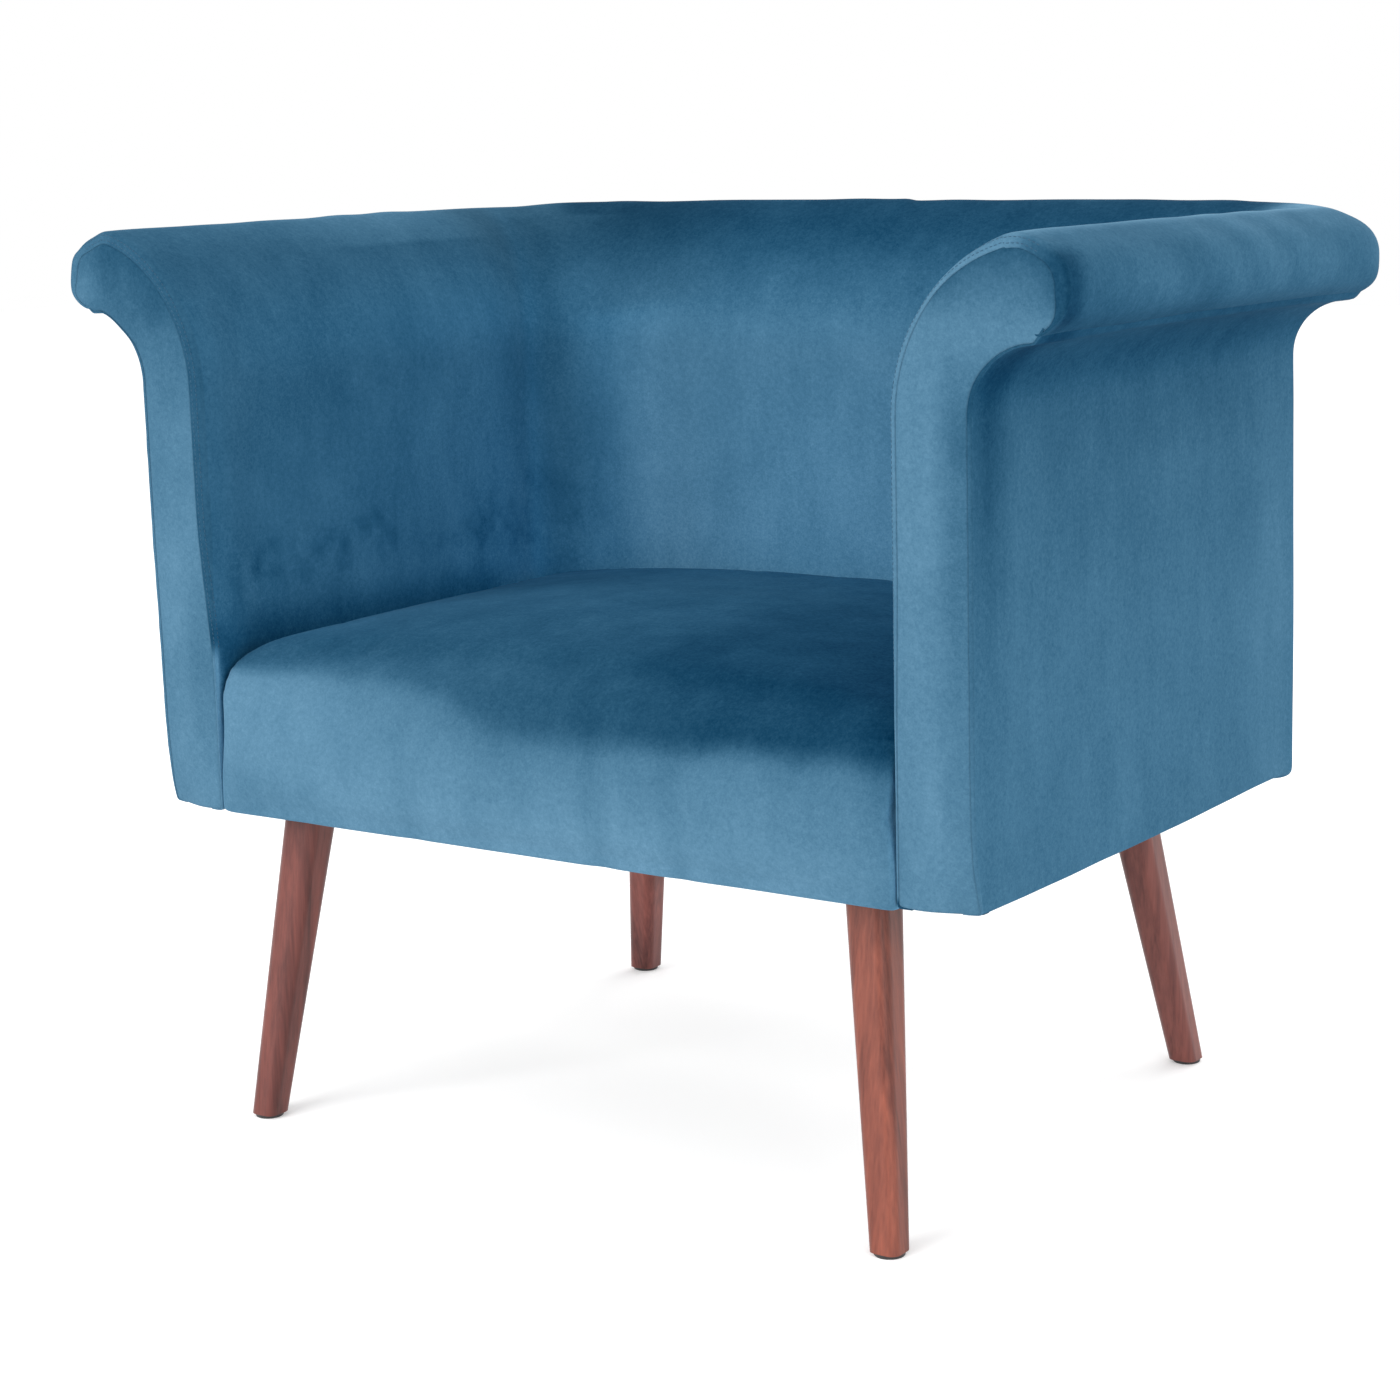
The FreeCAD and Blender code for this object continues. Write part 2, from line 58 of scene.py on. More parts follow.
LEG_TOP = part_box("front_left_leg")[1][2]             # underside of the body
DECK_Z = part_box("seat_insulator_pad")[1][2]          # under the seat foam

# ---------------- the section of arms and back
# u runs outward from the inside face, z is the height.
WALL = 0.062
FLARE_Z, FLARE_R = 0.598, 0.130
ROLL_U, ROLL_Z = 0.098, 0.686
UNDER_Z, UNDER_R = 0.602, 0.047
ROLL_END = math.radians(-65)
ROLL_R = FLARE_R - math.hypot(FLARE_R - ROLL_U, ROLL_Z - FLARE_Z)
FLARE_END = math.atan2(ROLL_Z - FLARE_Z, ROLL_U - FLARE_R)
TIP_U = ROLL_U + ROLL_R

ROLL_FLATS = ((0.0022, 62, 24), (0.0016, -58, 22))    # depth, direction faced in degrees, width of each
TUCK_END = (0.101, 0.659)      # the roll's cover ends here, inside the hollow
HOLLOW_END = (0.117, 0.660)    # the outside cover ends here, under the roll

GRID = 0.006              # spacing of the upholstery meshes
RIM_STEP = 0.0016         # and of its finer rows along the bottom edges
BODY_BOTTOM = LEG_TOP - 0.0016
BOTTOM_RIM = 0.003        # rounding of the body's lower edges
RIM_TOP = BODY_BOTTOM + BOTTOM_RIM
INSIDE_LAP, OUTSIDE_LAP = 0.012, 0.014    # the covers' widths under the body, rim included
COVER_FOOT = DECK_Z + 0.012    # the inside covers end here, behind the seat
FRONT_RUN = 0.024         # length of the finer columns behind the front
FRONT_COLUMNS = 15
LAP_COLUMNS, TURN_COLUMNS = 5, 5    # of those, on the lap and round the arm's front edge
INNER_CORNER_R = 0.052    # plan radius of the inside back corners
ROLL_CORNER_R = 0.108     # plan radius of the roll's outermost line
CORNER_AXIS_U = 0.048     # the outside covers turn about a line this deep in the wall

SEAT_SIDE_Z, SEAT_CROWN_Z = 0.384, 0.410
SEAT_FRONT_R = 0.034


def smooth(t):
    t = np.clip(t, 0.0, 1.0)
    return t * t * (3 - 2 * t)


def bell(x, centre, width):
    return np.exp(-(((x - centre) / width) ** 2))


def arc(cu, cz, r, a0, a1, step):
    """Points along an arc, both ends included."""
    n = max(2, int(round(abs(a1 - a0) * r / step)))
    a = np.linspace(a0, a1, n + 1)
    return np.stack([cu + r * np.cos(a), cz + r * np.sin(a)], 1)


def line(p, q, step):
    n = max(1, int(round(math.dist(p, q) / step)))
    t = np.linspace(0, 1, n + 1)[:, None]
    return np.array(p) * (1 - t) + np.array(q) * t


def chain(*parts):
    """Joins runs of points that share their end points."""
    out = [parts[0]]
    for p in parts[1:]:
        out.append(p[1:] if np.allclose(out[-1][-1], p[0], atol=1e-6) else p)
    return np.concatenate(out)


def roll_arc(step):
    """The roll: a circle, a little flatter on its outer shoulder and underneath."""
    n = int(round((FLARE_END - ROLL_END) * ROLL_R / step))
    a = np.linspace(FLARE_END, ROLL_END, n + 1)
    degrees = np.degrees(a)
    r = ROLL_R
    for depth, way, width in ROLL_FLATS:
        r = r - depth * bell(degrees, way, width)
    return np.stack([ROLL_U + r * np.cos(a), ROLL_Z + r * np.sin(a)], 1)


def inside_section():
    """Bottom edge, inside face, flare and roll, up and over to the roll's end and its tuck."""
    roll = roll_arc(GRID * 0.75)
    rim = BOTTOM_RIM
    return chain(
        line((INSIDE_LAP, BODY_BOTTOM), (rim, BODY_BOTTOM), GRID / 2),
        arc(rim, RIM_TOP, rim, -math.pi / 2, -math.pi, RIM_STEP),
        line((0, RIM_TOP), (0, FLARE_Z), GRID),
        arc(FLARE_R, FLARE_Z, FLARE_R, math.pi, FLARE_END, GRID),
        roll,
        line(tuple(roll[-1]), TUCK_END, GRID / 1.5),
    )


def outside_section():
    """Tuck under the body, outside face and the hollow turn under the roll."""
    rim = BOTTOM_RIM
    return chain(
        line((WALL - OUTSIDE_LAP, BODY_BOTTOM), (WALL - rim, BODY_BOTTOM), GRID / 2),
        arc(WALL - rim, RIM_TOP, rim, -math.pi / 2, 0.0, RIM_STEP),
        line((WALL, RIM_TOP), (WALL, UNDER_Z), GRID),
        arc(WALL + UNDER_R, UNDER_Z, UNDER_R, math.pi, math.pi / 2, GRID * 0.75),
        line((WALL + UNDER_R, UNDER_Z + UNDER_R), HOLLOW_END, GRID * 0.75),
    )


def section_normals(section, outside):
    """Unit normals of a section's points, out of the padding."""
    t = np.gradient(section, axis=0)
    t /= np.linalg.norm(t, axis=1, keepdims=True)
    return np.stack([t[:, 1], -t[:, 0]], 1) if outside else np.stack([-t[:, 1], t[:, 0]], 1)


def facing_way(section, outside):
    """Which way each point of a section faces, in degrees: 180 inward, 90 up, 0 outward, -90 down."""
    n = section_normals(section, outside)
    return np.degrees(np.arctan2(n[:, 1], n[:, 0])), n


def seam_inset(section, side, outside):
    """How far in from the arm's outline the facing's seam runs, per point. side is 1 on the sitter's left."""
    least = 0.0015
    z = section[:, 1]
    if outside:
        return least + 0.0015 * smooth((z - BODY_BOTTOM - 0.01) / 0.03) * smooth((0.645 - z) / 0.03)
    way = np.maximum(facing_way(section, outside)[0], -66)
    straight = 0.0035 if side > 0 else 0.0105
    over_roll = 0.0100
    inset = least + (straight - least) * smooth((z - 0.365) / 0.140)
    inset += (over_roll - straight) * smooth((140 - way) / 45) * (z > FLARE_Z)
    return least + (inset - least) * smooth((way + 62) / 62)


def corner_radius(u, z, outside):
    """Plan radius of the back corners: small on the flat walls, larger towards the roll's tip."""
    turned = max(u - CORNER_AXIS_U, 0.008)
    if outside:
        return turned
    roll = INNER_CORNER_R + (ROLL_CORNER_R - INNER_CORNER_R) * smooth(u / TIP_U)
    if u > ROLL_U - 0.01 and z < ROLL_Z:
        under = smooth((ROLL_Z - z) / 0.030)
        return roll + (turned - roll) * under
    return roll


def front_columns(inset):
    """A cover's turn onto the arm's front: offsets (inward, behind the front), from its seam back."""
    r = min(0.6 * inset, 0.006)
    lap = inset - r
    out = [
        (inset + 0.0008, 0.0038), (inset + 0.0004, 0.0011), (inset, 0.0003),
        (inset - 0.3 * lap, 0.0001), (r + 0.35 * lap, 0.0),
    ]
    for k in range(TURN_COLUMNS + 1):
        a = math.pi / 2 * k / TURN_COLUMNS
        out.append((r - r * math.sin(a), r - r * math.cos(a)))
    for t in (0.10, 0.26, 0.47, 0.72):
        out.append((0.0, r + (FRONT_RUN - r) * t))
    return np.array(out)


def u_grid(section, outside):
    """Grid of a cover swept round both arms and the back, from one front seam to the other.

    Gives the points (section, path, xyz) with the corners' sag, each path's length from the nearer
    seam, and how far each column has turned from the arm (0) to the back (1).
    """
    normals = section_normals(section, outside)
    insets = {side: seam_inset(section, side, outside) for side in (1, -1)}
    start = FRONT_Y + FRONT_RUN
    n_arm = int((BACK_IN - start) / GRID)
    n_corner = 16
    n_back = 2 * int(HALF_IN / GRID)
    angles = [math.pi / 2 * k / n_corner for k in range(n_corner)]
    turn = np.concatenate([np.zeros(FRONT_COLUMNS + n_arm), np.sin(angles), np.ones(n_back // 2)])
    turn = np.concatenate([turn, [1.0], turn[::-1]])
    rows = []
    for i, (u, z) in enumerate(section):
        r = float(corner_radius(u, z, outside))
        cx, cy = HALF_IN + u - r, BACK_IN + u - r
        plan = [(HALF_IN + u, start + (cy - start) * k / n_arm, z) for k in range(n_arm)]
        plan += [(cx + r * math.cos(a), cy + r * math.sin(a), z) for a in angles]
        plan += [(cx * (1 - 2 * k / n_back), cy + r, z) for k in range(n_back // 2)]
        ends = {}
        for side in (1, -1):
            inset, behind = front_columns(float(insets[side][i])).T
            ends[side] = np.stack([
                HALF_IN + u - normals[i, 0] * inset, FRONT_Y + behind, z - normals[i, 1] * inset,
            ], 1)
        left = np.concatenate([ends[1], plan])
        right = np.concatenate([ends[-1], plan]) * [-1, 1, 1]
        rows.append(np.concatenate([left, [(0.0, cy + r, z)], right[::-1]]))
    p = np.array(rows)
    step = np.linalg.norm(np.diff(p, axis=1), axis=2)
    run = np.concatenate([np.zeros((len(p), 1)), np.cumsum(step, axis=1)], 1)
    return corner_sag(p, section[:, 0][:, None]), np.minimum(run, run[:, -1:] - run), turn


def grid_normals(p):
    """Unit normals on the outer side of the padding, for a section that runs inside first."""
    du = np.gradient(p, axis=0)
    dv = np.gradient(p, axis=1)
    n = np.cross(du, dv)
    return n / np.maximum(np.linalg.norm(n, axis=2, keepdims=True), 1e-12)


LEFT_SAG, LEFT_SAG_UNDER, RIGHT_SAG = 0.0058, 0.0010, 0.005
SAG_REACH = 0.17


def corner_sag(p, u):
    """The roll hangs lower where it turns the back corners, a little more on the sitter's left."""
    tip = HALF_IN + TIP_U
    away = np.hypot(np.abs(p[..., 0]) - tip, p[..., 1] - (BACK_IN + TIP_U))
    near = np.exp(-((away / SAG_REACH) ** 2))
    high = smooth((p[..., 2] - FLARE_Z) / (ROLL_Z - FLARE_Z))
    under = smooth((ROLL_Z + 0.010 - p[..., 2]) / 0.035) * smooth((u - 0.08) / 0.03)
    left = LEFT_SAG * smooth((u - 0.03) / 0.07) + LEFT_SAG_UNDER * under
    drop = np.where(p[..., 0] > 0, left, RIGHT_SAG * smooth((u - 0.07) / 0.06))
    p[..., 2] -= near * high * drop
    return p


FRONT_SETTLE = 0.010


def settle_front(p):
    """The arms' fronts curve back a little towards their lower outer corners."""
    outer = smooth((np.abs(p[..., 0]) - HALF_IN - 0.018) / 0.044)
    low = np.clip((0.400 - p[..., 2]) / 0.138, 0, 1) ** 4
    near = 1 - smooth((p[..., 1] - FRONT_Y) / 0.05)
    p[..., 1] += FRONT_SETTLE * outer * low * near
    return p


TIP_FULLER, ARM_THINNER, NECK_IN, TIP_DROOP = 0.0038, 0.0020, 0.0040, 0.0030
UNDER_LIFT, UNDER_TIP_LESS, SHOULDER_DROP = 0.0086, 0.0056, 0.0022
REAR_LIFT, RIGHT_FRONT_DROP = 0.0022, 0.0024


def stuffing(p):
    """Small differences of this chair's stuffing: the right roll's front end is fuller and higher
    underneath, the right arm's outside is a little thinner low down, and the body's bottom edge is
    higher at the rear and lower at the right arm's front."""
    u = np.abs(p[..., 0]) - HALF_IN
    z = p[..., 2]
    right = (p[..., 0] < 0) * np.exp(-np.maximum(p[..., 1] - FRONT_Y, 0) / 0.15)
    tip = smooth((u - 0.06) / 0.06) * smooth((z - 0.62) / 0.03)
    under = smooth((u - 0.074) / 0.030) * smooth((z - 0.622) / 0.025) * smooth((0.686 - z) / 0.030)
    shoulder = smooth((u - 0.090) / 0.02) * smooth((z - 0.700) / 0.01)
    thin = smooth((u - 0.045) / 0.015) * bell(z, 0.36, 0.09)
    neck = NECK_IN * bell(u, 0.084, 0.016) * bell(z, 0.632, 0.020)
    neck = neck - TIP_DROOP * bell(z, 0.670, 0.013) * smooth((u - 0.098) / 0.02)
    p[..., 0] -= right * (TIP_FULLER * tip - ARM_THINNER * thin - neck)
    lift = UNDER_LIFT - UNDER_TIP_LESS * smooth((u - 0.100) / 0.020)
    p[..., 2] += right * (lift * under - SHOULDER_DROP * shoulder)
    lifted = smooth((p[..., 1] + 0.02) / 0.22) * smooth((0.290 - z) / 0.02)
    p[..., 2] += REAR_LIFT * lifted - RIGHT_FRONT_DROP * right * smooth((0.280 - z) / 0.014)
    return p


def distance_to(points, path):
    """Distance of each point from a line."""
    a, b = path[:-1], path[1:]
    d = b - a
    t = ((points[:, None, :] - a) * d).sum(2) / np.maximum((d * d).sum(1), 1e-12)
    near = a + np.clip(t, 0, 1)[..., None] * d
    return np.linalg.norm(points[:, None, :] - near, axis=2).min(1)


def noise3(p, scale, seed):
    """Smooth noise of each point, about -1 to 1. scale is the size of its lumps in metres."""
    s = np.broadcast_to(np.asarray(scale, float), (3,))
    flat = (p.reshape(-1, 3) / s) + np.array([seed * 7.31, seed * 3.17, seed * 5.73])
    out = np.array([noise.noise(Vector(q)) for q in flat])
    return out.reshape(p.shape[:-1])


# ---------------- meshes
def add_object(name, data):
    ob = bpy.data.objects.new(name, data)
    bpy.context.scene.collection.objects.link(ob)
    return ob


def new_object(name, verts, faces):
    mesh = bpy.data.meshes.new(name)
    mesh.from_pydata([tuple(v) for v in verts], [], faces)
    mesh.validate()
    ob = add_object(name, mesh)
    mesh.polygons.foreach_set("use_smooth", [True] * len(mesh.polygons))
    mesh.update()
    return ob


def grid_object(name, p, tones, light, keep=None, flip=False):
    """A mesh of the grid's faces, or of those whose first point is kept, with its pile painted."""
    index = np.arange(p[..., 0].size).reshape(p.shape[:2])
    corners = index[:-1, :-1], index[:-1, 1:], index[1:, 1:], index[1:, :-1]
    faces = np.stack(corners[:1] + corners[:0:-1] if flip else corners, -1)
    faces = faces.reshape(-1, 4) if keep is None else faces[keep[:-1, :-1]]
    used = np.zeros(index.size, bool)
    used[faces] = True
    new_index = np.cumsum(used) - 1
    ob = new_object(name, p.reshape(-1, 3)[used], new_index[faces].tolist())
    paint(ob, tones.ravel()[used], light.ravel()[used])
    return ob


def modify(ob, kind, **settings):
    """Adds a modifier and applies it."""
    m = ob.modifiers.new(kind, kind)
    for key, value in settings.items():
        setattr(m, key, value)
    bpy.context.view_layer.objects.active = ob
    with bpy.context.temp_override(object=ob, active_object=ob, selected_objects=[ob]):
        bpy.ops.object.modifier_apply(modifier=m.name)


def triples(collection, attribute):
    """The x, y and z of one attribute of every item."""
    out = np.empty(len(collection) * 3)
    collection.foreach_get(attribute, out)
    return out.reshape(-1, 3)


def coords(ob):
    return triples(ob.data.vertices, "co")


def set_coords(ob, p):
    ob.data.vertices.foreach_set("co", np.ascontiguousarray(p).ravel())
    ob.data.update()


def paint(ob, tones, light):
    """Two values per point, read by the velvet: how light the pile looks, painted light and shade included,
    and, under the name depth, the inverse of the light expected there, which holds its colour back where it
    stands in brighter light and lifts it in shade."""
    values = {"pile": np.clip(tones, 0, TONES) / TONES, "depth": 1 / (light + np.zeros(np.shape(tones)))}
    for name, value in values.items():
        attr = ob.data.attributes.new(name, "FLOAT", "POINT")
        attr.data.foreach_set("value", np.ascontiguousarray(value, dtype=np.float32))


# ---------------- camera, floor and light
CAMERA_ANGLES = (35.25, 11.03, 1.517)            # yaw, pitch and roll in degrees
CAMERA_PLACE = (1.37276, FRONT_Y - 1.72041, 0.80302)
CAMERA_LENS = 77.67


def camera():
    cam = bpy.data.cameras.new("camera")
    ob = add_object("camera", cam)
    yaw, pitch, roll = (math.radians(a) for a in CAMERA_ANGLES)
    turns = ((yaw, "Z"), (math.pi / 2 - pitch, "X"), (-roll, "Z"))
    m = Matrix.Translation(CAMERA_PLACE)
    for angle, axis in turns:
        m = m @ Matrix.Rotation(angle, 4, axis)
    ob.matrix_world = m
    cam.lens = CAMERA_LENS
    cam.sensor_width = 36.0
    cam.clip_start, cam.clip_end = 0.1, 60.0
    bpy.context.scene.camera = ob


def area_light(name, place, target, size, power):
    light = bpy.data.lights.new(name, "AREA")
    light.shape = "RECTANGLE"
    light.size, light.size_y = size
    light.energy = power
    ob = add_object(name, light)
    ob.location = place
    ob.rotation_euler = (Vector(target) - Vector(place)).to_track_quat("-Z", "Y").to_euler()


FLOOR_HALF = 9
LIGHTS = (    # name, place, target, size, power
    ("key", (-0.9, -3.6, 1.9), (0, 0, 0.45), (2.4, 1.8), 105),
    ("fill", (3.2, -1.8, 1.5), (0, 0, 0.4), (2.0, 2.0), 35),
    ("back", (0.5, 3.2, 2.4), (0, 0, 0.5), (3.0, 2.0), 45),
)


def studio():
    corners = [(x * FLOOR_HALF, y * FLOOR_HALF, 0) for x, y in ((-1, -1), (1, -1), (1, 1), (-1, 1))]
    floor = new_object("floor", corners, [(0, 1, 2, 3)])
    mat, _, bsdf = new_material("floor_paper")
    set_inputs(bsdf, {
        "Base Color": (0.93, 0.93, 0.93, 1), "Roughness": 0.9, "Specular IOR Level": 0.1,
        "Emission Color": (1, 1, 1, 1), "Emission Strength": 0.22,
    })
    floor.data.materials.append(mat)
    world = bpy.data.worlds.new("studio")
    world.use_nodes = True
    set_inputs(world.node_tree.nodes["Background"], {"Color": (1, 1, 1, 1), "Strength": 1.0})
    bpy.context.scene.world = world
    for values in LIGHTS:
        area_light(*values)
    bpy.context.scene.view_settings.view_transform = "Standard"


# ---------------- materials
def new_material(name):
    mat = bpy.data.materials.new(name)
    mat.use_nodes = True
    return mat, mat.node_tree, mat.node_tree.nodes["Principled BSDF"]


def set_inputs(n, values):
    for key, value in values.items():
        n.inputs[key].default_value = value


def node(tree, kind, inputs=(), **props):
    n = tree.nodes.new(kind)
    for key, value in props.items():
        setattr(n, key, value)
    set_inputs(n, dict(inputs))
    return n


def ramp(tree, source, stops):
    n = tree.nodes.new("ShaderNodeValToRGB")
    while len(n.color_ramp.elements) < len(stops):
        n.color_ramp.elements.new(0.5)
    for element, (at, colour) in zip(n.color_ramp.elements, stops):
        element.position = at
        element.color = (*colour, 1)
    tree.links.new(source, n.inputs["Fac"])
    return n.outputs["Color"]


def maths(tree, operation, a, b, clamp=False):
    n = tree.nodes.new("ShaderNodeMath")
    n.operation = operation
    n.use_clamp = clamp
    for socket, value in zip(n.inputs, (a, b)):
        if isinstance(value, (int, float)):
            socket.default_value = value
        else:
            tree.links.new(value, socket)
    return n.outputs[0]


def mixed(tree, a, b, share):
    """Two values, by the share of the first."""
    return maths(tree, "ADD", maths(tree, "MULTIPLY", a, share), maths(tree, "MULTIPLY", b, 1 - share))


def noise_node(tree, vector, scale, detail=2.0, rough=0.5, distortion=0.0):
    n = node(tree, "ShaderNodeTexNoise", {
        "Scale": scale, "Detail": detail, "Roughness": rough, "Distortion": distortion,
    })
    tree.links.new(vector, n.inputs["Vector"])
    return n.outputs["Fac"]


def stretched(tree, scale=(1, 1, 1)):
    """Object coordinates, scaled per axis."""
    place = node(tree, "ShaderNodeTexCoord").outputs["Object"]
    m = node(tree, "ShaderNodeMapping", {"Scale": scale})
    tree.links.new(place, m.inputs["Vector"])
    return m.outputs["Vector"]


def add_bump(tree, bsdf, height, strength, distance):
    bump = node(tree, "ShaderNodeBump", {"Strength": strength, "Distance": distance})
    tree.links.new(height, bump.inputs["Height"])
    tree.links.new(bump.outputs["Normal"], bsdf.inputs["Normal"])


def vary_roughness(tree, bsdf, value, low, high):
    spread = node(tree, "ShaderNodeMapRange", {"To Min": low, "To Max": high})
    tree.links.new(value, spread.inputs["Value"])
    tree.links.new(spread.outputs["Result"], bsdf.inputs["Roughness"])


def linear(value):
    """Linear light of a display value from 0 to 255."""
    c = max(value, 0) / 255
    return c / 12.92 if c <= 0.04045 else ((c + 0.055) / 1.055) ** 2.4


TONES = 120                    # the pile's lightest tone
VELVET_HUE = (0, 47, 77)       # red, green and blue over the tone, as display values
VELVET_STOPS = (0, 12, 24, 40, 56, 72, 88, 104, 120)


def velvet_colour(tone):
    """Colour of the velvet for a pile tone: deep blue where dark, milky where light."""
    return tuple(linear(tone + add) for add in VELVET_HUE)


def velvet():
    """Short pile: its painted tone, painted light and shade included, with blotches, streaks, nap and grain,
    scaled by depth, the inverse of the light expected on it.
    """
    mat, tree, bsdf = new_material("velvet")
    links = tree.links
    plain = stretched(tree)
    tall = stretched(tree, (1, 1, 0.22))
    value = node(tree, "ShaderNodeAttribute", attribute_name="pile").outputs["Fac"]
    nap = noise_node(tree, plain, 240.0, 2.0, 0.6)
    blotches = noise_node(tree, plain, 11.0, 5.0, 0.65, 0.6)
    streaks = noise_node(tree, tall, 60.0, 3.0, 0.6)
    grain = noise_node(tree, plain, 620.0, 2.0, 0.7)
    for part, weight in ((blotches, 0.16), (streaks, 0.10), (nap, 0.19), (grain, 0.25)):
        offset = maths(tree, "MULTIPLY", maths(tree, "SUBTRACT", part, 0.5), weight)
        value = maths(tree, "ADD", value, offset)
    value = maths(tree, "ADD", value, 0.0, True)
    colour = ramp(tree, value, [(t / TONES, velvet_colour(t)) for t in VELVET_STOPS])
    # painted light evening: depth is the inverse of the light expected here, lifting the colour in shade and
    # holding it back in bright light
    even = node(tree, "ShaderNodeVectorMath", operation="SCALE")
    links.new(colour, even.inputs[0])
    links.new(node(tree, "ShaderNodeAttribute", attribute_name="depth").outputs["Fac"], even.inputs["Scale"])
    links.new(even.outputs[0], bsdf.inputs["Base Color"])
    set_inputs(bsdf, {
        "Roughness": 0.9, "Specular IOR Level": 0.01,
        "Sheen Weight": 0.03, "Sheen Roughness": 0.35, "Sheen Tint": (0.45, 0.75, 1.0, 1),
    })
    add_bump(tree, bsdf, mixed(tree, nap, grain, 0.6), 0.30, 0.0006)
    return mat


THREAD_DARKER = 0.64


def thread():
    """Blue polyester thread of the topstitch."""
    mat, tree, bsdf = new_material("thread")
    value = noise_node(tree, stretched(tree), 900.0, 2.0, 0.6)
    colour = ramp(tree, value, [
        (at, tuple(THREAD_DARKER * c for c in velvet_colour(tone))) for at, tone in ((0.3, 32), (0.7, 48))
    ])
    tree.links.new(colour, bsdf.inputs["Base Color"])
    set_inputs(bsdf, {"Roughness": 0.55, "Specular IOR Level": 0.3})
    return mat


WALNUT = (    # the grain's ramp: place and colour
    (0.30, (0.044, 0.0080, 0.0056)), (0.47, (0.138, 0.0315, 0.0215)), (0.66, (0.248, 0.0600, 0.0385)),
)
LEG_LIGHT = {    # painted light: each leg's colour is scaled for the light that falls on it
    "front_left_leg": (1.08, 1.18, 1.08), "front_right_leg": (0.71, 0.79, 0.93),
    "rear_left_leg": (0.86, 1.07, 1.30), "rear_right_leg": (1.02, 1.17, 1.40),
}


def leg_wood(name, light):
    """Walnut stain. light scales its red, green and blue, as painted light on each leg."""
    mat, tree, bsdf = new_material(name)
    grain_at = stretched(tree, (1, 1, 0.045))
    broad = noise_node(tree, grain_at, 45.0, 4.0, 0.6, 0.6)
    fine = noise_node(tree, grain_at, 420.0, 3.0, 0.6)
    stops = [(at, tuple(k * c for k, c in zip(light, rgb))) for at, rgb in WALNUT]
    colour = ramp(tree, mixed(tree, broad, fine, 0.72), stops)
    tree.links.new(colour, bsdf.inputs["Base Color"])
    vary_roughness(tree, bsdf, fine, 0.30, 0.44)
    set_inputs(bsdf, {"Specular IOR Level": 0.30, "Coat Weight": 0.10, "Coat Roughness": 0.25})
    add_bump(tree, bsdf, fine, 0.12, 0.0004)
    return mat


def plain_material(name, dark, light, scale, rough, metal=0.0, stretch=(1, 1, 1)):
    """Two colours mixed by noise, for the pieces that hardly show."""
    mat, tree, bsdf = new_material(name)
    value = noise_node(tree, stretched(tree, stretch), scale, 4.0, 0.6)
    tree.links.new(ramp(tree, value, [(0.3, dark), (0.7, light)]), bsdf.inputs["Base Color"])
    bsdf.inputs["Metallic"].default_value = metal
    vary_roughness(tree, bsdf, value, max(rough - 0.08, 0.05), min(rough + 0.08, 1.0))
    add_bump(tree, bsdf, value, 0.2, 0.0005)
    return mat


HIDDEN_LOOKS = {    # dark colour, light colour, noise scale, roughness, metal, stretch of the grain
    "frame_wood": ((0.50, 0.33, 0.17), (0.66, 0.48, 0.27), 60, 0.6, 0.0, (0.2, 0.2, 1)),
    "plywood": ((0.52, 0.36, 0.19), (0.68, 0.51, 0.30), 90, 0.6, 0.0, (1, 1, 0.15)),
    "fibreboard": ((0.14, 0.08, 0.045), (0.20, 0.12, 0.07), 300, 0.7),
    "foam": ((0.75, 0.70, 0.48), (0.85, 0.80, 0.60), 500, 0.95),
    "batting": ((0.80, 0.80, 0.78), (0.92, 0.92, 0.90), 200, 0.95),
    "felt": ((0.12, 0.115, 0.105), (0.22, 0.21, 0.20), 350, 0.95),
    "dust_cloth": ((0.006, 0.006, 0.007), (0.014, 0.014, 0.016), 700, 0.92),
    "glide_plastic": ((0.012, 0.010, 0.010), (0.022, 0.019, 0.018), 400, 0.42),
    "spring_steel": ((0.16, 0.165, 0.175), (0.24, 0.245, 0.26), 200, 0.35, 1.0),
    "zinc_steel": ((0.45, 0.46, 0.47), (0.56, 0.57, 0.58), 250, 0.35, 1.0),
}


def dress_cad():
    """Procedural materials on the CAD nodes that stay."""
    looks = {name: plain_material(name + "_look", *values) for name, values in HIDDEN_LOOKS.items()}
    looks.update({name: leg_wood(name + "_wood", light) for name, light in LEG_LIGHT.items()})
    slots = {s["node"]: s["material_slot"] for s in frame["record"]["subparts"]}
    for name, ob in frame["nodes"].items():
        look = looks.get(name) or looks.get(slots[name])
        if look is None:
            continue
        for s in ob.material_slots:
            s.material = look


# ---------------- the pile's painted light and shade, and the light that evens it
# Light on the covers, 1 where a surface shows the colour that it is given.
FRONT_LIGHT, SIDE_LIGHT, ROLL_LIGHT = 2.02, 1.48, 1.50
FACING_POWER = 0.8        # how the front's light fades on a surface that turns away
ARM_LIGHT, ARM_FADE = 1.20, 0.49           # inside the arms at the front, and the loss at the back
BACK_LIGHT, BACK_SIDE_FADE = 1.36, 0.44    # the back's middle, and the loss beside the arms
LOW_Z, LOW_REACH = 0.41, 0.19              # the inside faces lose light over this reach above LOW_Z
RIGHT_CORNER_GAIN = 0.28                   # the sitter's right back corner catches the side light
SEAT_LIGHT, SEAT_EDGE_FADE, SEAT_LEAST = 1.22, 0.40, 0.5


def from_front(columns):
    """Each column's number, counted from the nearer front seam."""
    return np.minimum(np.arange(columns), np.arange(columns)[::-1])


def front_share(columns):
    """How much each column of a cover faces the front: 1 on the lap, 0 behind the turn."""
    at = np.clip((from_front(columns) - LAP_COLUMNS) / TURN_COLUMNS, 0, 1)
    return np.cos(np.pi / 2 * at) ** FACING_POWER


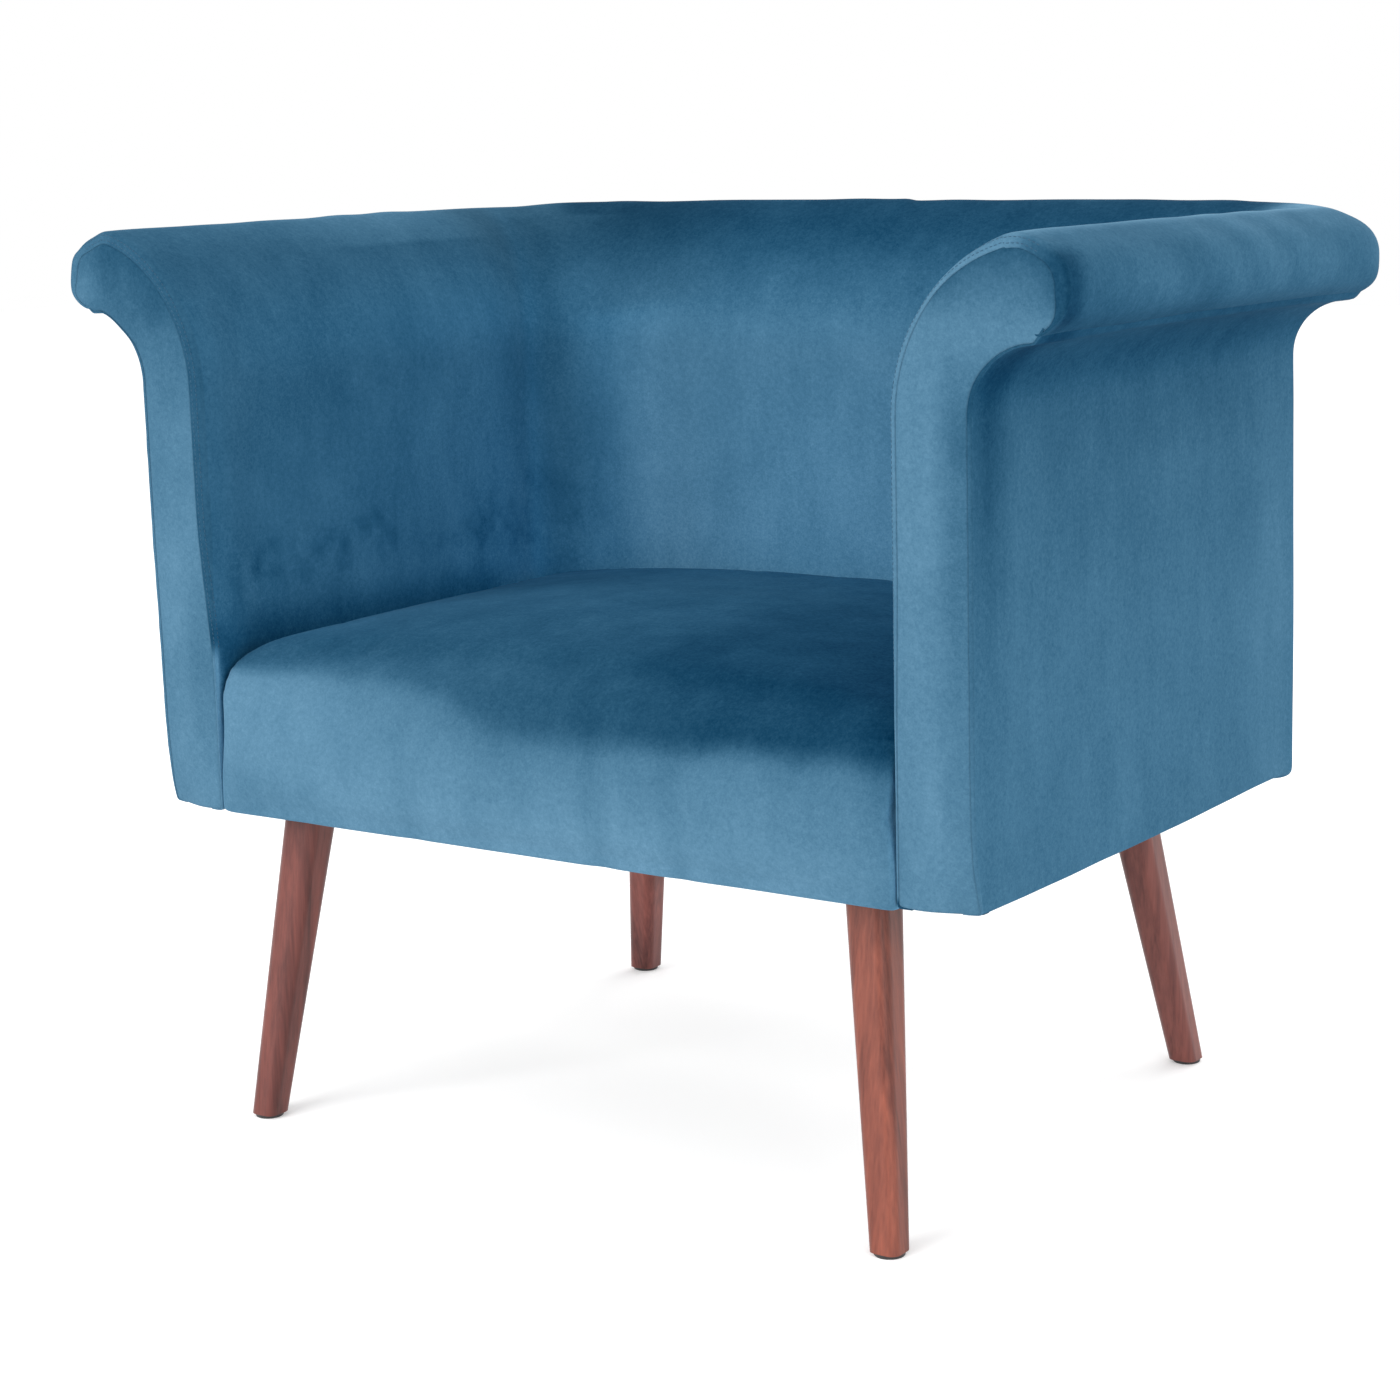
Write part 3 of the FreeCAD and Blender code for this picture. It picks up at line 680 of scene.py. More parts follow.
def inside_light(p, way, turn):
    """Light on the inside faces: less towards the seat and the back corners."""
    x, y, z = np.moveaxis(p, -1, 0)
    low = 1 - np.clip((z - LOW_Z) / LOW_REACH, 0, 1)
    deep = np.clip((y - FRONT_Y) / (BACK_IN - FRONT_Y), 0, 1)
    arm = (ARM_LIGHT - ARM_FADE * deep) * (1 - (0.15 + 0.32 * deep) * low)
    side = 1 - smooth((HALF_IN - np.abs(x)) / 0.15)
    back = (BACK_LIGHT - BACK_SIDE_FADE * side) * (1 - (0.30 + 0.12 * side) * low)
    face = arm + (back - arm) * smooth((turn - 0.15) / 0.7)
    light = face + (ROLL_LIGHT - face) * smooth((172 - way) / 50)
    upright = smooth((way - 155) / 17)
    across = smooth((-x - 0.10 - 0.155 * upright) / (0.20 - 0.14 * upright))
    lit_back = smooth((turn - 0.05) / 0.6) * across
    lit_arm = (x < 0) * smooth((deep - 0.8) / 0.2) * (1 - smooth(turn / 0.5))
    lit = np.maximum(lit_back, lit_arm)
    light = light * (1 + RIGHT_CORNER_GAIN * lit * smooth((way - 75) / 40))
    return light + (FRONT_LIGHT - light) * front_share(p.shape[1])


def outside_light(p):
    """Light on the outside faces: a little less under the roll."""
    light = SIDE_LIGHT - 0.10 * smooth((p[..., 2] - 0.56) / 0.06)
    return light + (FRONT_LIGHT - light) * front_share(p.shape[1])


def seat_light(p, normals):
    """Light on the seat: the top from above, less beside the arms and the back; the front more."""
    side = np.maximum(HALF_IN - np.abs(p[:, 0]), 0)
    back = np.maximum(BACK_IN - p[:, 1], 0)
    top = SEAT_LIGHT - SEAT_EDGE_FADE * np.exp(-side / 0.09) - SEAT_EDGE_FADE * np.exp(-back / 0.12)
    top = np.maximum(top, SEAT_LEAST)
    return top + (FRONT_LIGHT - top) * np.clip(-normals[:, 1], 0, 1) ** FACING_POWER


def seat_height(x, y):
    """Height of the seat's surface."""
    across = 1 - np.clip(np.abs(x) / HALF_IN, 0, 1) ** 2.4
    run = (y - FRONT_Y) / (BACK_IN - FRONT_Y)
    crown = (SEAT_CROWN_Z - SEAT_SIDE_Z) * (0.35 + 0.65 * smooth(run / 0.35))
    crown = crown * (1 - 0.24 * smooth(run * 2 - 1))
    return SEAT_SIDE_Z + across * crown


# Tones of the inside faces and rolls by the way they face, and of the facings by height: painted light and
# shade by the way each surface faces, with a painted highlight along the crest of the sitter's left roll.
BACK_TONE = ([-65, -40, 0, 40, 70, 90, 110, 125, 138, 149, 161, 170, 180],
             [30, 42, 58, 50, 36, 30, 28, 28, 36, 47, 58, 69, 75])
RIGHT_ARM_TONE = ([-65, -40, 0, 40, 70, 90, 110, 130, 150, 180],
                  [34, 48, 64, 70, 72, 72, 60, 50, 48, 47])
LEFT_ARM_TONE = ([-65, -40, 0, 40, 66, 80, 88, 98, 108, 120, 135, 150, 180],
                 [28, 42, 56, 60, 68, 90, 104, 108, 94, 76, 63, 54, 47])
RIGHT_FACING_TONE = ([0.26, 0.30, 0.34, 0.38, 0.42, 0.455, 0.50, 0.55, 0.60, 0.62, 0.645, 0.67, 0.70],
                     [95, 93, 89, 88, 95, 97, 90, 84, 78, 75, 68, 60, 52])
LEFT_FACING_TONE = ([0.26, 0.32, 0.40, 0.50, 0.60, 0.64, 0.70], [91, 94, 93, 92, 93, 88, 80])
LEFT_FACING_OUTER_TONE = ([0.26, 0.29, 0.32, 0.36, 0.40, 0.43, 0.46, 0.50, 0.55, 0.58, 0.60, 0.62, 0.65],
                          [90, 87, 83, 82, 80, 77, 72, 70, 70, 60, 66, 76, 82])


def facing_tone(u, z, d, side):
    """Tone of an arm's front, with painted light and shade. d is the distance in from the facing's seam."""
    if side < 0:
        # painted shade: the right facing darkens towards its top and beside the seat's shoulder; painted
        # light at the roll's tip
        tone = np.interp(z, *RIGHT_FACING_TONE)
        tone = tone - 13 * smooth((0.032 - u) / 0.02) * bell(z, 0.395, 0.055)
        tone = tone - 12 * bell(u, 0.035, 0.03) * smooth((z - 0.635) / 0.03) - 6 * smooth((z - 0.68) / 0.02)
        return tone + 24 * smooth((u - 0.088) / 0.03) * smooth((z - 0.65) / 0.02)
    # painted shade: the left facing's outer part and its top are darker, most along the seam at the top where
    # the roll's cover gathers
    inner, outer = np.interp(z, *LEFT_FACING_TONE), np.interp(z, *LEFT_FACING_OUTER_TONE)
    tone = inner + (outer - inner) * smooth((u - 0.028) / 0.024) * smooth((0.66 - z) / 0.03)
    top = smooth((z - 0.655) / 0.03) * smooth((u - 0.018) / 0.025)
    tone = tone - 8 * top
    tip = smooth((u - 0.07) / 0.02)
    return tone - top * (24 + 6 * tip) * np.exp(-d / (0.010 + 0.006 * tip))


def rim_tone(u, z, way, side):
    """The narrow strip of the inside cover that laps over the arm's front, in painted light and shade: on the
    sitter's right as the facing, on the left lit where it turns up over the roll and shaded under it.
    """
    if side < 0:
        return np.interp(z, *RIGHT_FACING_TONE) + 24 * smooth((u - 0.088) / 0.03) * smooth((z - 0.65) / 0.02)
    return np.interp(way, [-60, 0, 45, 66, 84, 105, 135, 160, 180], [30, 30, 34, 52, 82, 98, 96, 92, 91])


# Darker marks low on the inside of the arms, brushed pile with some painted shade near the back: how dark,
# how wide, and a line of (y, z) points.
NAP_MARKS = (
    (13, 0.009, [(-0.272, 0.450), (-0.266, 0.436), (-0.268, 0.418)]),
    (11, 0.008, [(-0.242, 0.450), (-0.236, 0.462), (-0.222, 0.468), (-0.205, 0.462),
                 (-0.192, 0.448), (-0.186, 0.436)]),
    (10, 0.009, [(-0.238, 0.446), (-0.214, 0.440)]),
    (14, 0.008, [(-0.168, 0.456), (-0.150, 0.463), (-0.134, 0.458), (-0.136, 0.440)]),
    (11, 0.009, [(-0.116, 0.466), (-0.094, 0.470), (-0.078, 0.460), (-0.068, 0.444)]),
    (9, 0.009, [(-0.092, 0.468), (-0.088, 0.436)]),
    (9, 0.012, [(-0.026, 0.438), (0.006, 0.443), (0.036, 0.444), (0.050, 0.456), (0.062, 0.464)]),
    (12, 0.020, [(0.050, 0.436), (0.085, 0.444), (0.110, 0.430)]),
    (11, 0.010, [(0.118, 0.484), (0.136, 0.480), (0.146, 0.466), (0.150, 0.446)]),
)


def inside_tone(p, way, turn, run):
    """Tone of the inside faces, the flare and the roll, with painted light and shade by the way they face, in
    the back corners, above the seat and in the gathers behind the facings.
    """
    x, y, z = np.moveaxis(p, -1, 0)
    ragged = 0.014 * noise3(p, 0.05, 31) + 0.007 * noise3(p, 0.016, 32)
    reach = 0.055 * smooth((165 - way) / 25) - 0.012
    back = smooth((HALF_IN + reach - np.abs(x) + ragged) / 0.105) * (turn > 0.5)
    back = np.where(way < 150, np.maximum(back, smooth((turn - 0.75) / 0.25) * (way < 120)), back)
    arm = np.where(x > 0, np.interp(way, *LEFT_ARM_TONE), np.interp(way, *RIGHT_ARM_TONE))
    tone = arm + (np.interp(way, *BACK_TONE) - arm) * back
    # painted shade in the back corners
    tone -= 5 * np.sin(np.pi * np.clip(turn, 0, 1)) * (way > 120)
    # painted shade on the inside faces just above the seat
    above = np.maximum(z - np.maximum(seat_height(x, np.minimum(y, BACK_IN)), SEAT_SIDE_Z), 0)
    shade_beside_seat = np.where(back > 0.5, 6, np.where(x < 0, 25 - 19 * smooth((y - 0.05) / 0.06), 18))
    tone -= shade_beside_seat * np.exp(-((above / np.where(x < 0, 0.030, 0.026)) ** 3)) * (way > 150)
    # painted highlight on the top of the sitter's right roll
    tone += 17 * np.exp(-(((x + 0.40) / 0.07) ** 2 + ((y - 0.02) / 0.11) ** 2)) * (way < 130) * (way > 60)
    face = (np.abs(x) < HALF_IN + 0.03) & (way > 150)
    marks = 0
    for depth, width, points in NAP_MARKS:
        away = distance_to(p[..., 1:].reshape(-1, 2), np.array(points)).reshape(x.shape)
        marks = marks + depth * bell(away, 0, width)
    tone -= marks * (0.80 + 1.1 * noise3(p, 0.012, 33)) * face * (turn < 0.9)
    # painted light on the top of the sitter's left roll, from about its middle back
    tone += 12 * (x > 0) * (way < 130) * smooth((y + 0.13) / 0.12) * (1 - back)
    # painted shade in the gathers of the roll's cover behind each facing
    left_gather_shade = 36 * bell(run, 0.019, 0.018) * smooth((66 - way) / 30)
    right_gather_shade = 14 * bell(run, 0.036, 0.020) * smooth((95 - way) / 30)
    tone -= smooth((way + 70) / 30) * np.where(x > 0, left_gather_shade, right_gather_shade)
    lap = smooth((0.0135 - run) / 0.004)
    for side in (1, -1):
        rim = rim_tone(np.abs(x) - HALF_IN, z, way, side)
        shown = lap if side > 0 else lap * np.maximum(smooth((70 - way) / 25), smooth((0.400 - z) / 0.02))
        tone = np.where(x * side > 0, tone + (rim - tone) * shown, tone)
    return tone


def outside_tone(p, turn, run):
    """Tone of the outside faces, with painted shade: darker up towards the roll and darkest in the hollow
    under it.
    """
    x, y, z = np.moveaxis(p, -1, 0)
    tone = 68 - 8 * smooth((z - 0.40) / 0.12) - 8 * smooth((z - 0.53) / 0.07)
    tone = tone - 22 * smooth((z - 0.595) / 0.035) + 8 * smooth((y - 0.10) / 0.08) * (turn < 0.5)
    # painted shade in a band beside the sitter's left facing, deeper higher up
    beside = bell(run, 0.030, 0.024) * (x > 0)
    tone = tone - beside * (3 + 20 * smooth((z - 0.42) / 0.16)) - 2 * turn
    # the lap onto the front takes the facing's tone held 9 darker, with painted shade under the end of the
    # sitter's left roll
    lap = smooth((0.0085 - run) / 0.003)
    for side in (1, -1):
        edge = facing_tone(np.abs(x) - HALF_IN, z, 0.003, side) - 9
        edge = edge - 32 * (side > 0) * smooth((z - 0.585) / 0.03)
        tone = np.where(x * side > 0, tone + (edge - tone) * lap, tone)
    return tone


# ---------------- covers
def folds_behind_facing(way, run):
    """Small gathers of the roll's cover behind the facing, as a height."""
    around = np.radians(way)
    reach = np.exp(-np.maximum(run - 0.012, 0) / 0.020) * smooth((run - 0.009) / 0.012)
    where = smooth((way + 72) / 30) * smooth((105 - way) / 40)
    wave = 0.5 + 0.5 * np.sin(around * 11.0 + 1.3 * np.sin(around * 4.3 + run * 60))
    return -0.0012 * reach * where * wave


def drag_lines(p, way, run):
    """Soft slanting bands on the rolls, where the cover was pulled over them: a height, and a wave that
    paints a sheen along them.
    """
    along = np.where(np.abs(p[..., 0]) > HALF_IN, p[..., 1], np.abs(p[..., 0]))
    where = smooth((way + 60) / 40) * smooth((120 - way) / 40) * smooth((run - 0.03) / 0.05)
    wave = np.sin(along * 62 + np.radians(way) * 2.2 + 2.0 * np.sin(along * 17))
    return 0.00035 * wave * where, where * wave


def inside_and_roll(mat):
    """The cover of the inside faces, flare and roll, in one run round both arms and the back."""
    section = inside_section()
    p, run, turn = u_grid(section, False)
    way = facing_way(section, False)[0][:, None]
    n = grid_normals(p)
    clear = smooth((run - 0.010) / 0.03)
    lump = 0.0012 * noise3(p, (0.16, 0.16, 0.20), 1) + 0.0005 * noise3(p, (0.05, 0.05, 0.09), 2)
    bands, shine = drag_lines(p, way, run)
    swell = 0.0022 * bell(run, 0.035, 0.022) * (way > 150) * (p[..., 2] > SEAT_SIDE_Z)
    seam = 0.00025 * noise3(p, 0.007, 5) * (1 - clear)
    crest = np.where(p[..., 0] > 0, 0.0009, 0.0025) * smooth((turn - 0.5) / 0.4) * bell(way, 95, 45)
    rise = lump * clear + bands + swell + seam + crest + folds_behind_facing(way, run)
    for at in STITCH_RUNS:
        rise = rise - 0.00035 * bell(run, at, 0.0011) * (p[..., 2] > SEAT_SIDE_Z) * (way > 60)
    p = stuffing(settle_front(p + n * rise[..., None]))
    # painted sheen along the drag bands
    tone = inside_tone(p, way, turn[None, :], run) + 4.0 * shine
    tone = tone + 5 * noise3(p, (0.05, 0.05, 0.11), 6) + 3 * noise3(p, (0.018, 0.018, 0.035), 7)
    front = from_front(p.shape[1]) <= FRONT_COLUMNS
    keep = (section[:, 1] > COVER_FOOT)[:, None] | front[None, :]
    ob = grid_object("inside_and_roll_cover", p, tone, inside_light(p, way, turn), keep)
    velvet_piece(
        ob, mat, 0.9, "left_arm_inside_cover", "right_arm_inside_cover", "back_inside_cover",
        "left_arm_foam", "right_arm_foam", "back_foam",
    )
    return p, run


def outside_cover(mat):
    """The cover of the outside faces and the hollow under the roll, in one run."""
    section = outside_section()
    p, run, turn = u_grid(section, True)
    n = -grid_normals(p)
    clear = smooth((run - 0.006) / 0.03)
    lump = 0.0010 * noise3(p, (0.18, 0.18, 0.25), 3) + 0.0004 * noise3(p, (0.05, 0.05, 0.12), 4)
    seam = 0.00035 * noise3(p, 0.008, 8) * (1 - clear)
    height = section[:, 1][:, None]
    fuller = turn * (0.0022 + 0.0046 * smooth((0.60 - height) / 0.34)) * smooth((0.63 - height) / 0.07)
    p = stuffing(settle_front(p + n * (lump * clear + seam + fuller)[..., None]))
    tone = outside_tone(p, turn[None, :], run)
    tone = tone + 3.5 * noise3(p, (0.06, 0.06, 0.14), 9) + 2.5 * noise3(p, (0.018, 0.018, 0.035), 10)
    ob = grid_object("outside_cover", p, tone, outside_light(p), flip=True)
    velvet_piece(
        ob, mat, 0.9, "left_arm_outside_cover", "right_arm_outside_cover", "back_outside_cover",
        "left_arm_outside_batting", "right_arm_outside_batting", "back_outside_batting",
    )


# ---------------- facings
SIDES = ((1, "left"), (-1, "right"))
SEAM_STEP, BOTTOM_STEP, FACING_STEP = 0.0024, 0.0030, 0.0036
FACING_RINGS = (0.0010, 0.0022, 0.0040)    # of points, in from the seam
STITCH_RUNS = (0.0066, 0.0108)     # rows of topstitch, measured back from the facing's seam


def seam_line(side):
    """The facing's seam as (u, z), from its inner bottom corner over the roll to its outer one."""
    lines = []
    for section, outside in ((inside_section(), False), (outside_section(), True)):
        way, n = facing_way(section, outside)
        keep = section[:, 1] >= RIM_TOP - 1e-5
        keep &= (section[:, 1] <= UNDER_Z + UNDER_R + 1e-6) if outside else (way > -80)
        q = section - n * seam_inset(section, side, outside)[:, None]
        lines.append(q[keep])
    edge = np.concatenate([lines[0], lines[1][::-1]])
    edge[[0, -1], 1] = RIM_TOP
    return edge


def lengths(points):
    """Length of a line up to each of its points."""
    return np.concatenate([[0], np.cumsum(np.linalg.norm(np.diff(points, axis=0), axis=1))])


def points_at(at, length, points):
    """The point, or points, at a length along a line."""
    return np.stack([np.interp(at, length, column) for column in points.T], -1)


def resample(points, step):
    """Even points along a line, its first and last points kept."""
    length = lengths(points)
    return points_at(np.linspace(0, length[-1], int(length[-1] / step) + 1), length, points)


def within(points, polygon):
    """Which points lie inside a polygon."""
    x, y = points[:, 0][:, None], points[:, 1][:, None]
    x0, y0 = polygon[:, 0], polygon[:, 1]
    x1, y1 = np.roll(x0, -1), np.roll(y0, -1)
    cross = ((y0 > y) != (y1 > y)) & (x < (x1 - x0) * (y - y0) / (y1 - y0 + 1e-15) + x0)
    return cross.sum(1) % 2 == 1


def facing_mesh(side):
    """Flat mesh of a facing: an even spread of points, with finer rings along the seam."""
    seam = resample(seam_line(side), SEAM_STEP)
    bottom = line(tuple(seam[-1]), tuple(seam[0]), BOTTOM_STEP)[1:-1]
    edge = np.concatenate([seam, bottom])
    t = np.roll(edge, -1, axis=0) - np.roll(edge, 1, axis=0)
    t /= np.linalg.norm(t, axis=1, keepdims=True)
    inward = np.stack([t[:, 1], -t[:, 0]], 1)
    if not within(edge[5:6] + inward[5:6] * 0.001, edge)[0]:
        inward = -inward
    closed = np.concatenate([edge, edge[:1]])
    points = [edge]
    for far in FACING_RINGS:
        ring = (edge + inward * far)[:: 1 if far < 0.003 else 2]
        ring = ring[within(ring, edge) & (distance_to(ring, closed) > 0.93 * far)]
        gap = np.linalg.norm(np.diff(ring, axis=0), axis=1)
        points.append(ring[np.concatenate([[True], gap > 0.0009])])
    gu, gz = np.meshgrid(np.arange(-0.01, 0.15, FACING_STEP), np.arange(0.25, 0.75, FACING_STEP * 0.866))
    gu[1::2] += FACING_STEP / 2
    spread = np.stack([gu.ravel(), gz.ravel()], 1)
    spread = spread[within(spread, edge)]
    spread = spread[distance_to(spread, closed) > 0.0058]
    points.append(spread)
    flat = np.concatenate(points)
    out = delaunay_2d_cdt([Vector(q) for q in flat], [], [list(range(len(edge)))], 1, 1e-7)
    verts, faces = np.array([tuple(v) for v in out[0]]), [tuple(f) for f in out[2]]
    return verts, faces, distance_to(verts, seam)


def facings(mat):
    """The padded fronts of both arms."""
    for side, word in SIDES:
        flat, faces, d = facing_mesh(side)
        y = FRONT_Y + 0.0010 * np.exp(-d / 0.0012) - 0.0010 * (1 - np.exp(-d / 0.008))
        p = np.stack([side * (HALF_IN + flat[:, 0]), y, flat[:, 1]], 1)
        ob = new_object(word + "_front_facing", p, faces)
        bm = bmesh.new()
        bm.from_mesh(ob.data)
        bmesh.ops.recalc_face_normals(bm, faces=bm.faces)
        if sum(f.normal.y * f.calc_area() for f in bm.faces) > 0:
            bmesh.ops.reverse_faces(bm, faces=bm.faces)
        bm.to_mesh(ob.data)
        bm.free()
        puff(ob, 3.0, 0.0035, 2.0, pinned=(d < 0.0012) | (flat[:, 1] < BODY_BOTTOM + 0.005))
        p = coords(ob)
        near = np.exp(-d / 0.006)
        p[:, 1] += 0.00030 * noise3(p, 0.007, 11 + side) * near * smooth(d / 0.001)
        set_coords(ob, stuffing(settle_front(p)))
        tone = facing_tone(flat[:, 0], flat[:, 1], d, side)
        tone += 4 * noise3(p, (0.04, 0.04, 0.07), 14 + side) + 3 * noise3(p, (0.014, 0.014, 0.03), 17 + side)
        paint(ob, tone, FRONT_LIGHT)
        turn_under(ob)
        velvet_piece(ob, mat, 0.8, word + "_facing_cover", word + "_facing_foam")


def edges_where(bm, test):
    """Edges whose ends both pass a test of their place."""
    return [e for e in bm.edges if all(test(v.co) for v in e.verts)]


def turn_under(ob):
    """Carries the facing's bottom edge round and under the body."""
    bm = bmesh.new()
    bm.from_mesh(ob.data)
    edges = [e for e in edges_where(bm, lambda co: co.z < RIM_TOP + 0.0002) if e.is_boundary]
    for dy, dz in ((0.0006, -0.0019), (0.0019, -0.0009), (0.004, -0.0002), (0.008, 0.0)):
        made = bmesh.ops.extrude_edge_only(bm, edges=edges)["geom"]
        edges = [g for g in made if isinstance(g, bmesh.types.BMEdge)]
        for v in {v for e in edges for v in e.verts}:
            v.co += Vector((0, dy, dz))
    bmesh.ops.recalc_face_normals(bm, faces=bm.faces)
    bm.to_mesh(ob.data)
    bm.free()


def topstitch(p, run, mat):
    """Two rows of short stitches behind each facing's inner seam, from the seat over to the roll."""
    section = inside_section()
    way = facing_way(section, False)[0]
    rows = np.flatnonzero((section[:, 1] > SEAT_SIDE_Z + 0.004) & (way > 55))
    pitch, half, thick = 0.0036, 0.00125, 0.00034
    near = FRONT_COLUMNS + 4
    for side, word in SIDES:
        q, r = p[rows, ::side][:, :near], run[rows, ::side][:, :near]
        verts, faces = [], []
        for at in STITCH_RUNS:
            track = np.array([points_at(at, *row) for row in zip(r, q)])
            length = lengths(track)
            for c in np.arange(pitch, length[-1] - pitch, pitch):
                add_stitch(verts, faces, *points_at([c - half, c + half], length, track), thick)
        ob = new_object(word + "_facing_topstitch", verts, faces)
        ob.data.materials.append(mat)
        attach(ob, "root")


def add_stitch(verts, faces, a, b, r):
    """One stitch as a short rod with pointed ends."""
    axis = (b - a) / np.linalg.norm(b - a)
    side = np.cross(axis, [0.3, 0.5, 0.81])
    side /= np.linalg.norm(side)
    up = np.cross(axis, side)
    first = len(verts)
    for t in (0.22, 0.78):
        c = a + (b - a) * t
        verts += [c + r * (side * math.cos(k) + up * math.sin(k)) for k in np.arange(6) * math.pi / 3]
    verts += [a, b]
    for k in range(6):
        j = (k + 1) % 6
        faces.append((first + k, first + j, first + 6 + j, first + 6 + k))
        faces.append((first + 12, first + j, first + k))
        faces.append((first + 13, first + 6 + k, first + 6 + j))


# ---------------- padding
PUFF_FRAMES = 20


def puff(ob, pressure, cap, bending, pinned):
    """Cloth under inner pressure, with no gravity. No point moves further than cap."""
    start = coords(ob)
    m = ob.modifiers.new("puff", "CLOTH")
    s = m.settings
    s.quality = 5
    s.mass = 0.3
    s.tension_stiffness = s.compression_stiffness = 15
    s.shear_stiffness = 5
    s.bending_stiffness = bending
    s.use_pressure = True
    s.uniform_pressure_force = pressure
    s.effector_weights.gravity = 0
    m.collision_settings.use_collision = False
    m.collision_settings.use_self_collision = False
    group = ob.vertex_groups.new(name="pin")
    group.add([int(i) for i in np.flatnonzero(pinned)], 1.0, "REPLACE")
    s.vertex_group_mass = "pin"
    m.point_cache.frame_end = PUFF_FRAMES
    scene = bpy.context.scene
    for f in range(1, PUFF_FRAMES + 1):
        scene.frame_set(f)
    end = coords(ob.evaluated_get(bpy.context.evaluated_depsgraph_get()))
    ob.modifiers.remove(m)
    ob.vertex_groups.clear()
    scene.frame_set(1)
    move = end - start
    far = np.linalg.norm(move, axis=1, keepdims=True)
    move *= cap * np.tanh(far / cap) / np.maximum(far, 1e-9)
    set_coords(ob, start + move)


def soften(ob, iterations):
    modify(ob, "SMOOTH", factor=0.5, iterations=iterations)


def velvet_piece(ob, mat, fill, *nodes):
    """Rounds off and dresses a finished cover, which stands for the CAD nodes named."""
    modify(ob, "SUBSURF", levels=1, render_levels=1)
    ob.data.materials.append(mat)
    ob.data.polygons.foreach_set("use_smooth", [True] * len(ob.data.polygons))
    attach(ob, "root")
    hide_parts(*nodes)


# ---------------- seat
SEAT_GAP = 0.0012
SEAT_SILL = BODY_BOTTOM - 0.0034       # the apron's thin lip hangs this low
SEAT_LOWEST = BODY_BOTTOM - 0.0045
SEAT_VOXEL = 0.0045
FRONT_LEAN, LEAN_FROM = 0.06, 0.33     # slant of the front's folds, and the height where it is nil
FRONT_FOLDS = (    # place across, width, depth
    (-0.122, 0.010, 0.0006), (0.059, 0.009, 0.0010), (0.132, 0.008, 0.0006), (-0.235, 0.016, 0.0003),
)


def is_sharp(e):
    return e.calc_face_angle(0) > math.radians(50)


def seat_block():
    """Closed body of the seat: the pad on its springs, with an apron down the front."""
    x1, y0, y1 = HALF_IN - SEAT_GAP, FRONT_Y - 0.002, BACK_IN - SEAT_GAP
    deck, apron, sill = DECK_Z + 0.0006, FRONT_Y + 0.0165, SEAT_SILL
    side = [(y0, sill), (y0, SEAT_SIDE_Z), (y1, SEAT_SIDE_Z), (y1, deck), (apron, deck), (apron, sill)]
    bm = bmesh.new()
    ends = [[bm.verts.new((x, y, z)) for y, z in side] for x in (-x1, x1)]
    bm.faces.new(ends[0])
    bm.faces.new(ends[1][::-1])
    for i in range(len(side)):
        j = (i + 1) % len(side)
        bm.faces.new((ends[0][j], ends[0][i], ends[1][i], ends[1][j]))
    bmesh.ops.recalc_face_normals(bm, faces=bm.faces)
    nose = edges_where(bm, lambda co: abs(co.z - SEAT_SIDE_Z) < 1e-6 and co.y < FRONT_Y)
    bmesh.ops.bevel(bm, geom=nose, offset=SEAT_FRONT_R, segments=10, profile=0.5, affect="EDGES")
    low = edges_where(bm, lambda co: co.z < 0.27)
    corners = [e for e in low if is_sharp(e) and abs(e.verts[0].co.x - e.verts[1].co.x) < 1e-6]
    rim = [e for e in bm.edges if is_sharp(e) and e not in corners]
    bmesh.ops.bevel(bm, geom=rim, offset=0.003, segments=3, profile=0.5, affect="EDGES")
    mesh = bpy.data.meshes.new("seat_cushion")
    bm.to_mesh(mesh)
    bm.free()
    return add_object("seat_cushion", mesh), x1, y1


# Across the seat, for its painted light and shade: height where the dark top ends, the top's tone, and how
# much darker than the front the band below that line is.
SEAT_LINE_Z = ([-0.31, -0.12, -0.08, -0.04, -0.01, 0.03, 0.07, 0.13, 0.20, 0.27, 0.31],
               [0.376, 0.380, 0.371, 0.357, 0.352, 0.350, 0.350, 0.354, 0.358, 0.358, 0.357])
SEAT_TOP_TONE = ([-0.30, -0.06, 0.05, 0.11, 0.20, 0.31], [42, 40, 34, 23, 18, 12])
SEAT_DIM = ([-0.31, -0.24, -0.19, -0.15, -0.10, -0.05, 0.0, 0.06, 0.3], [5, 12, 26, 34, 40, 41, 34, 28, 24])


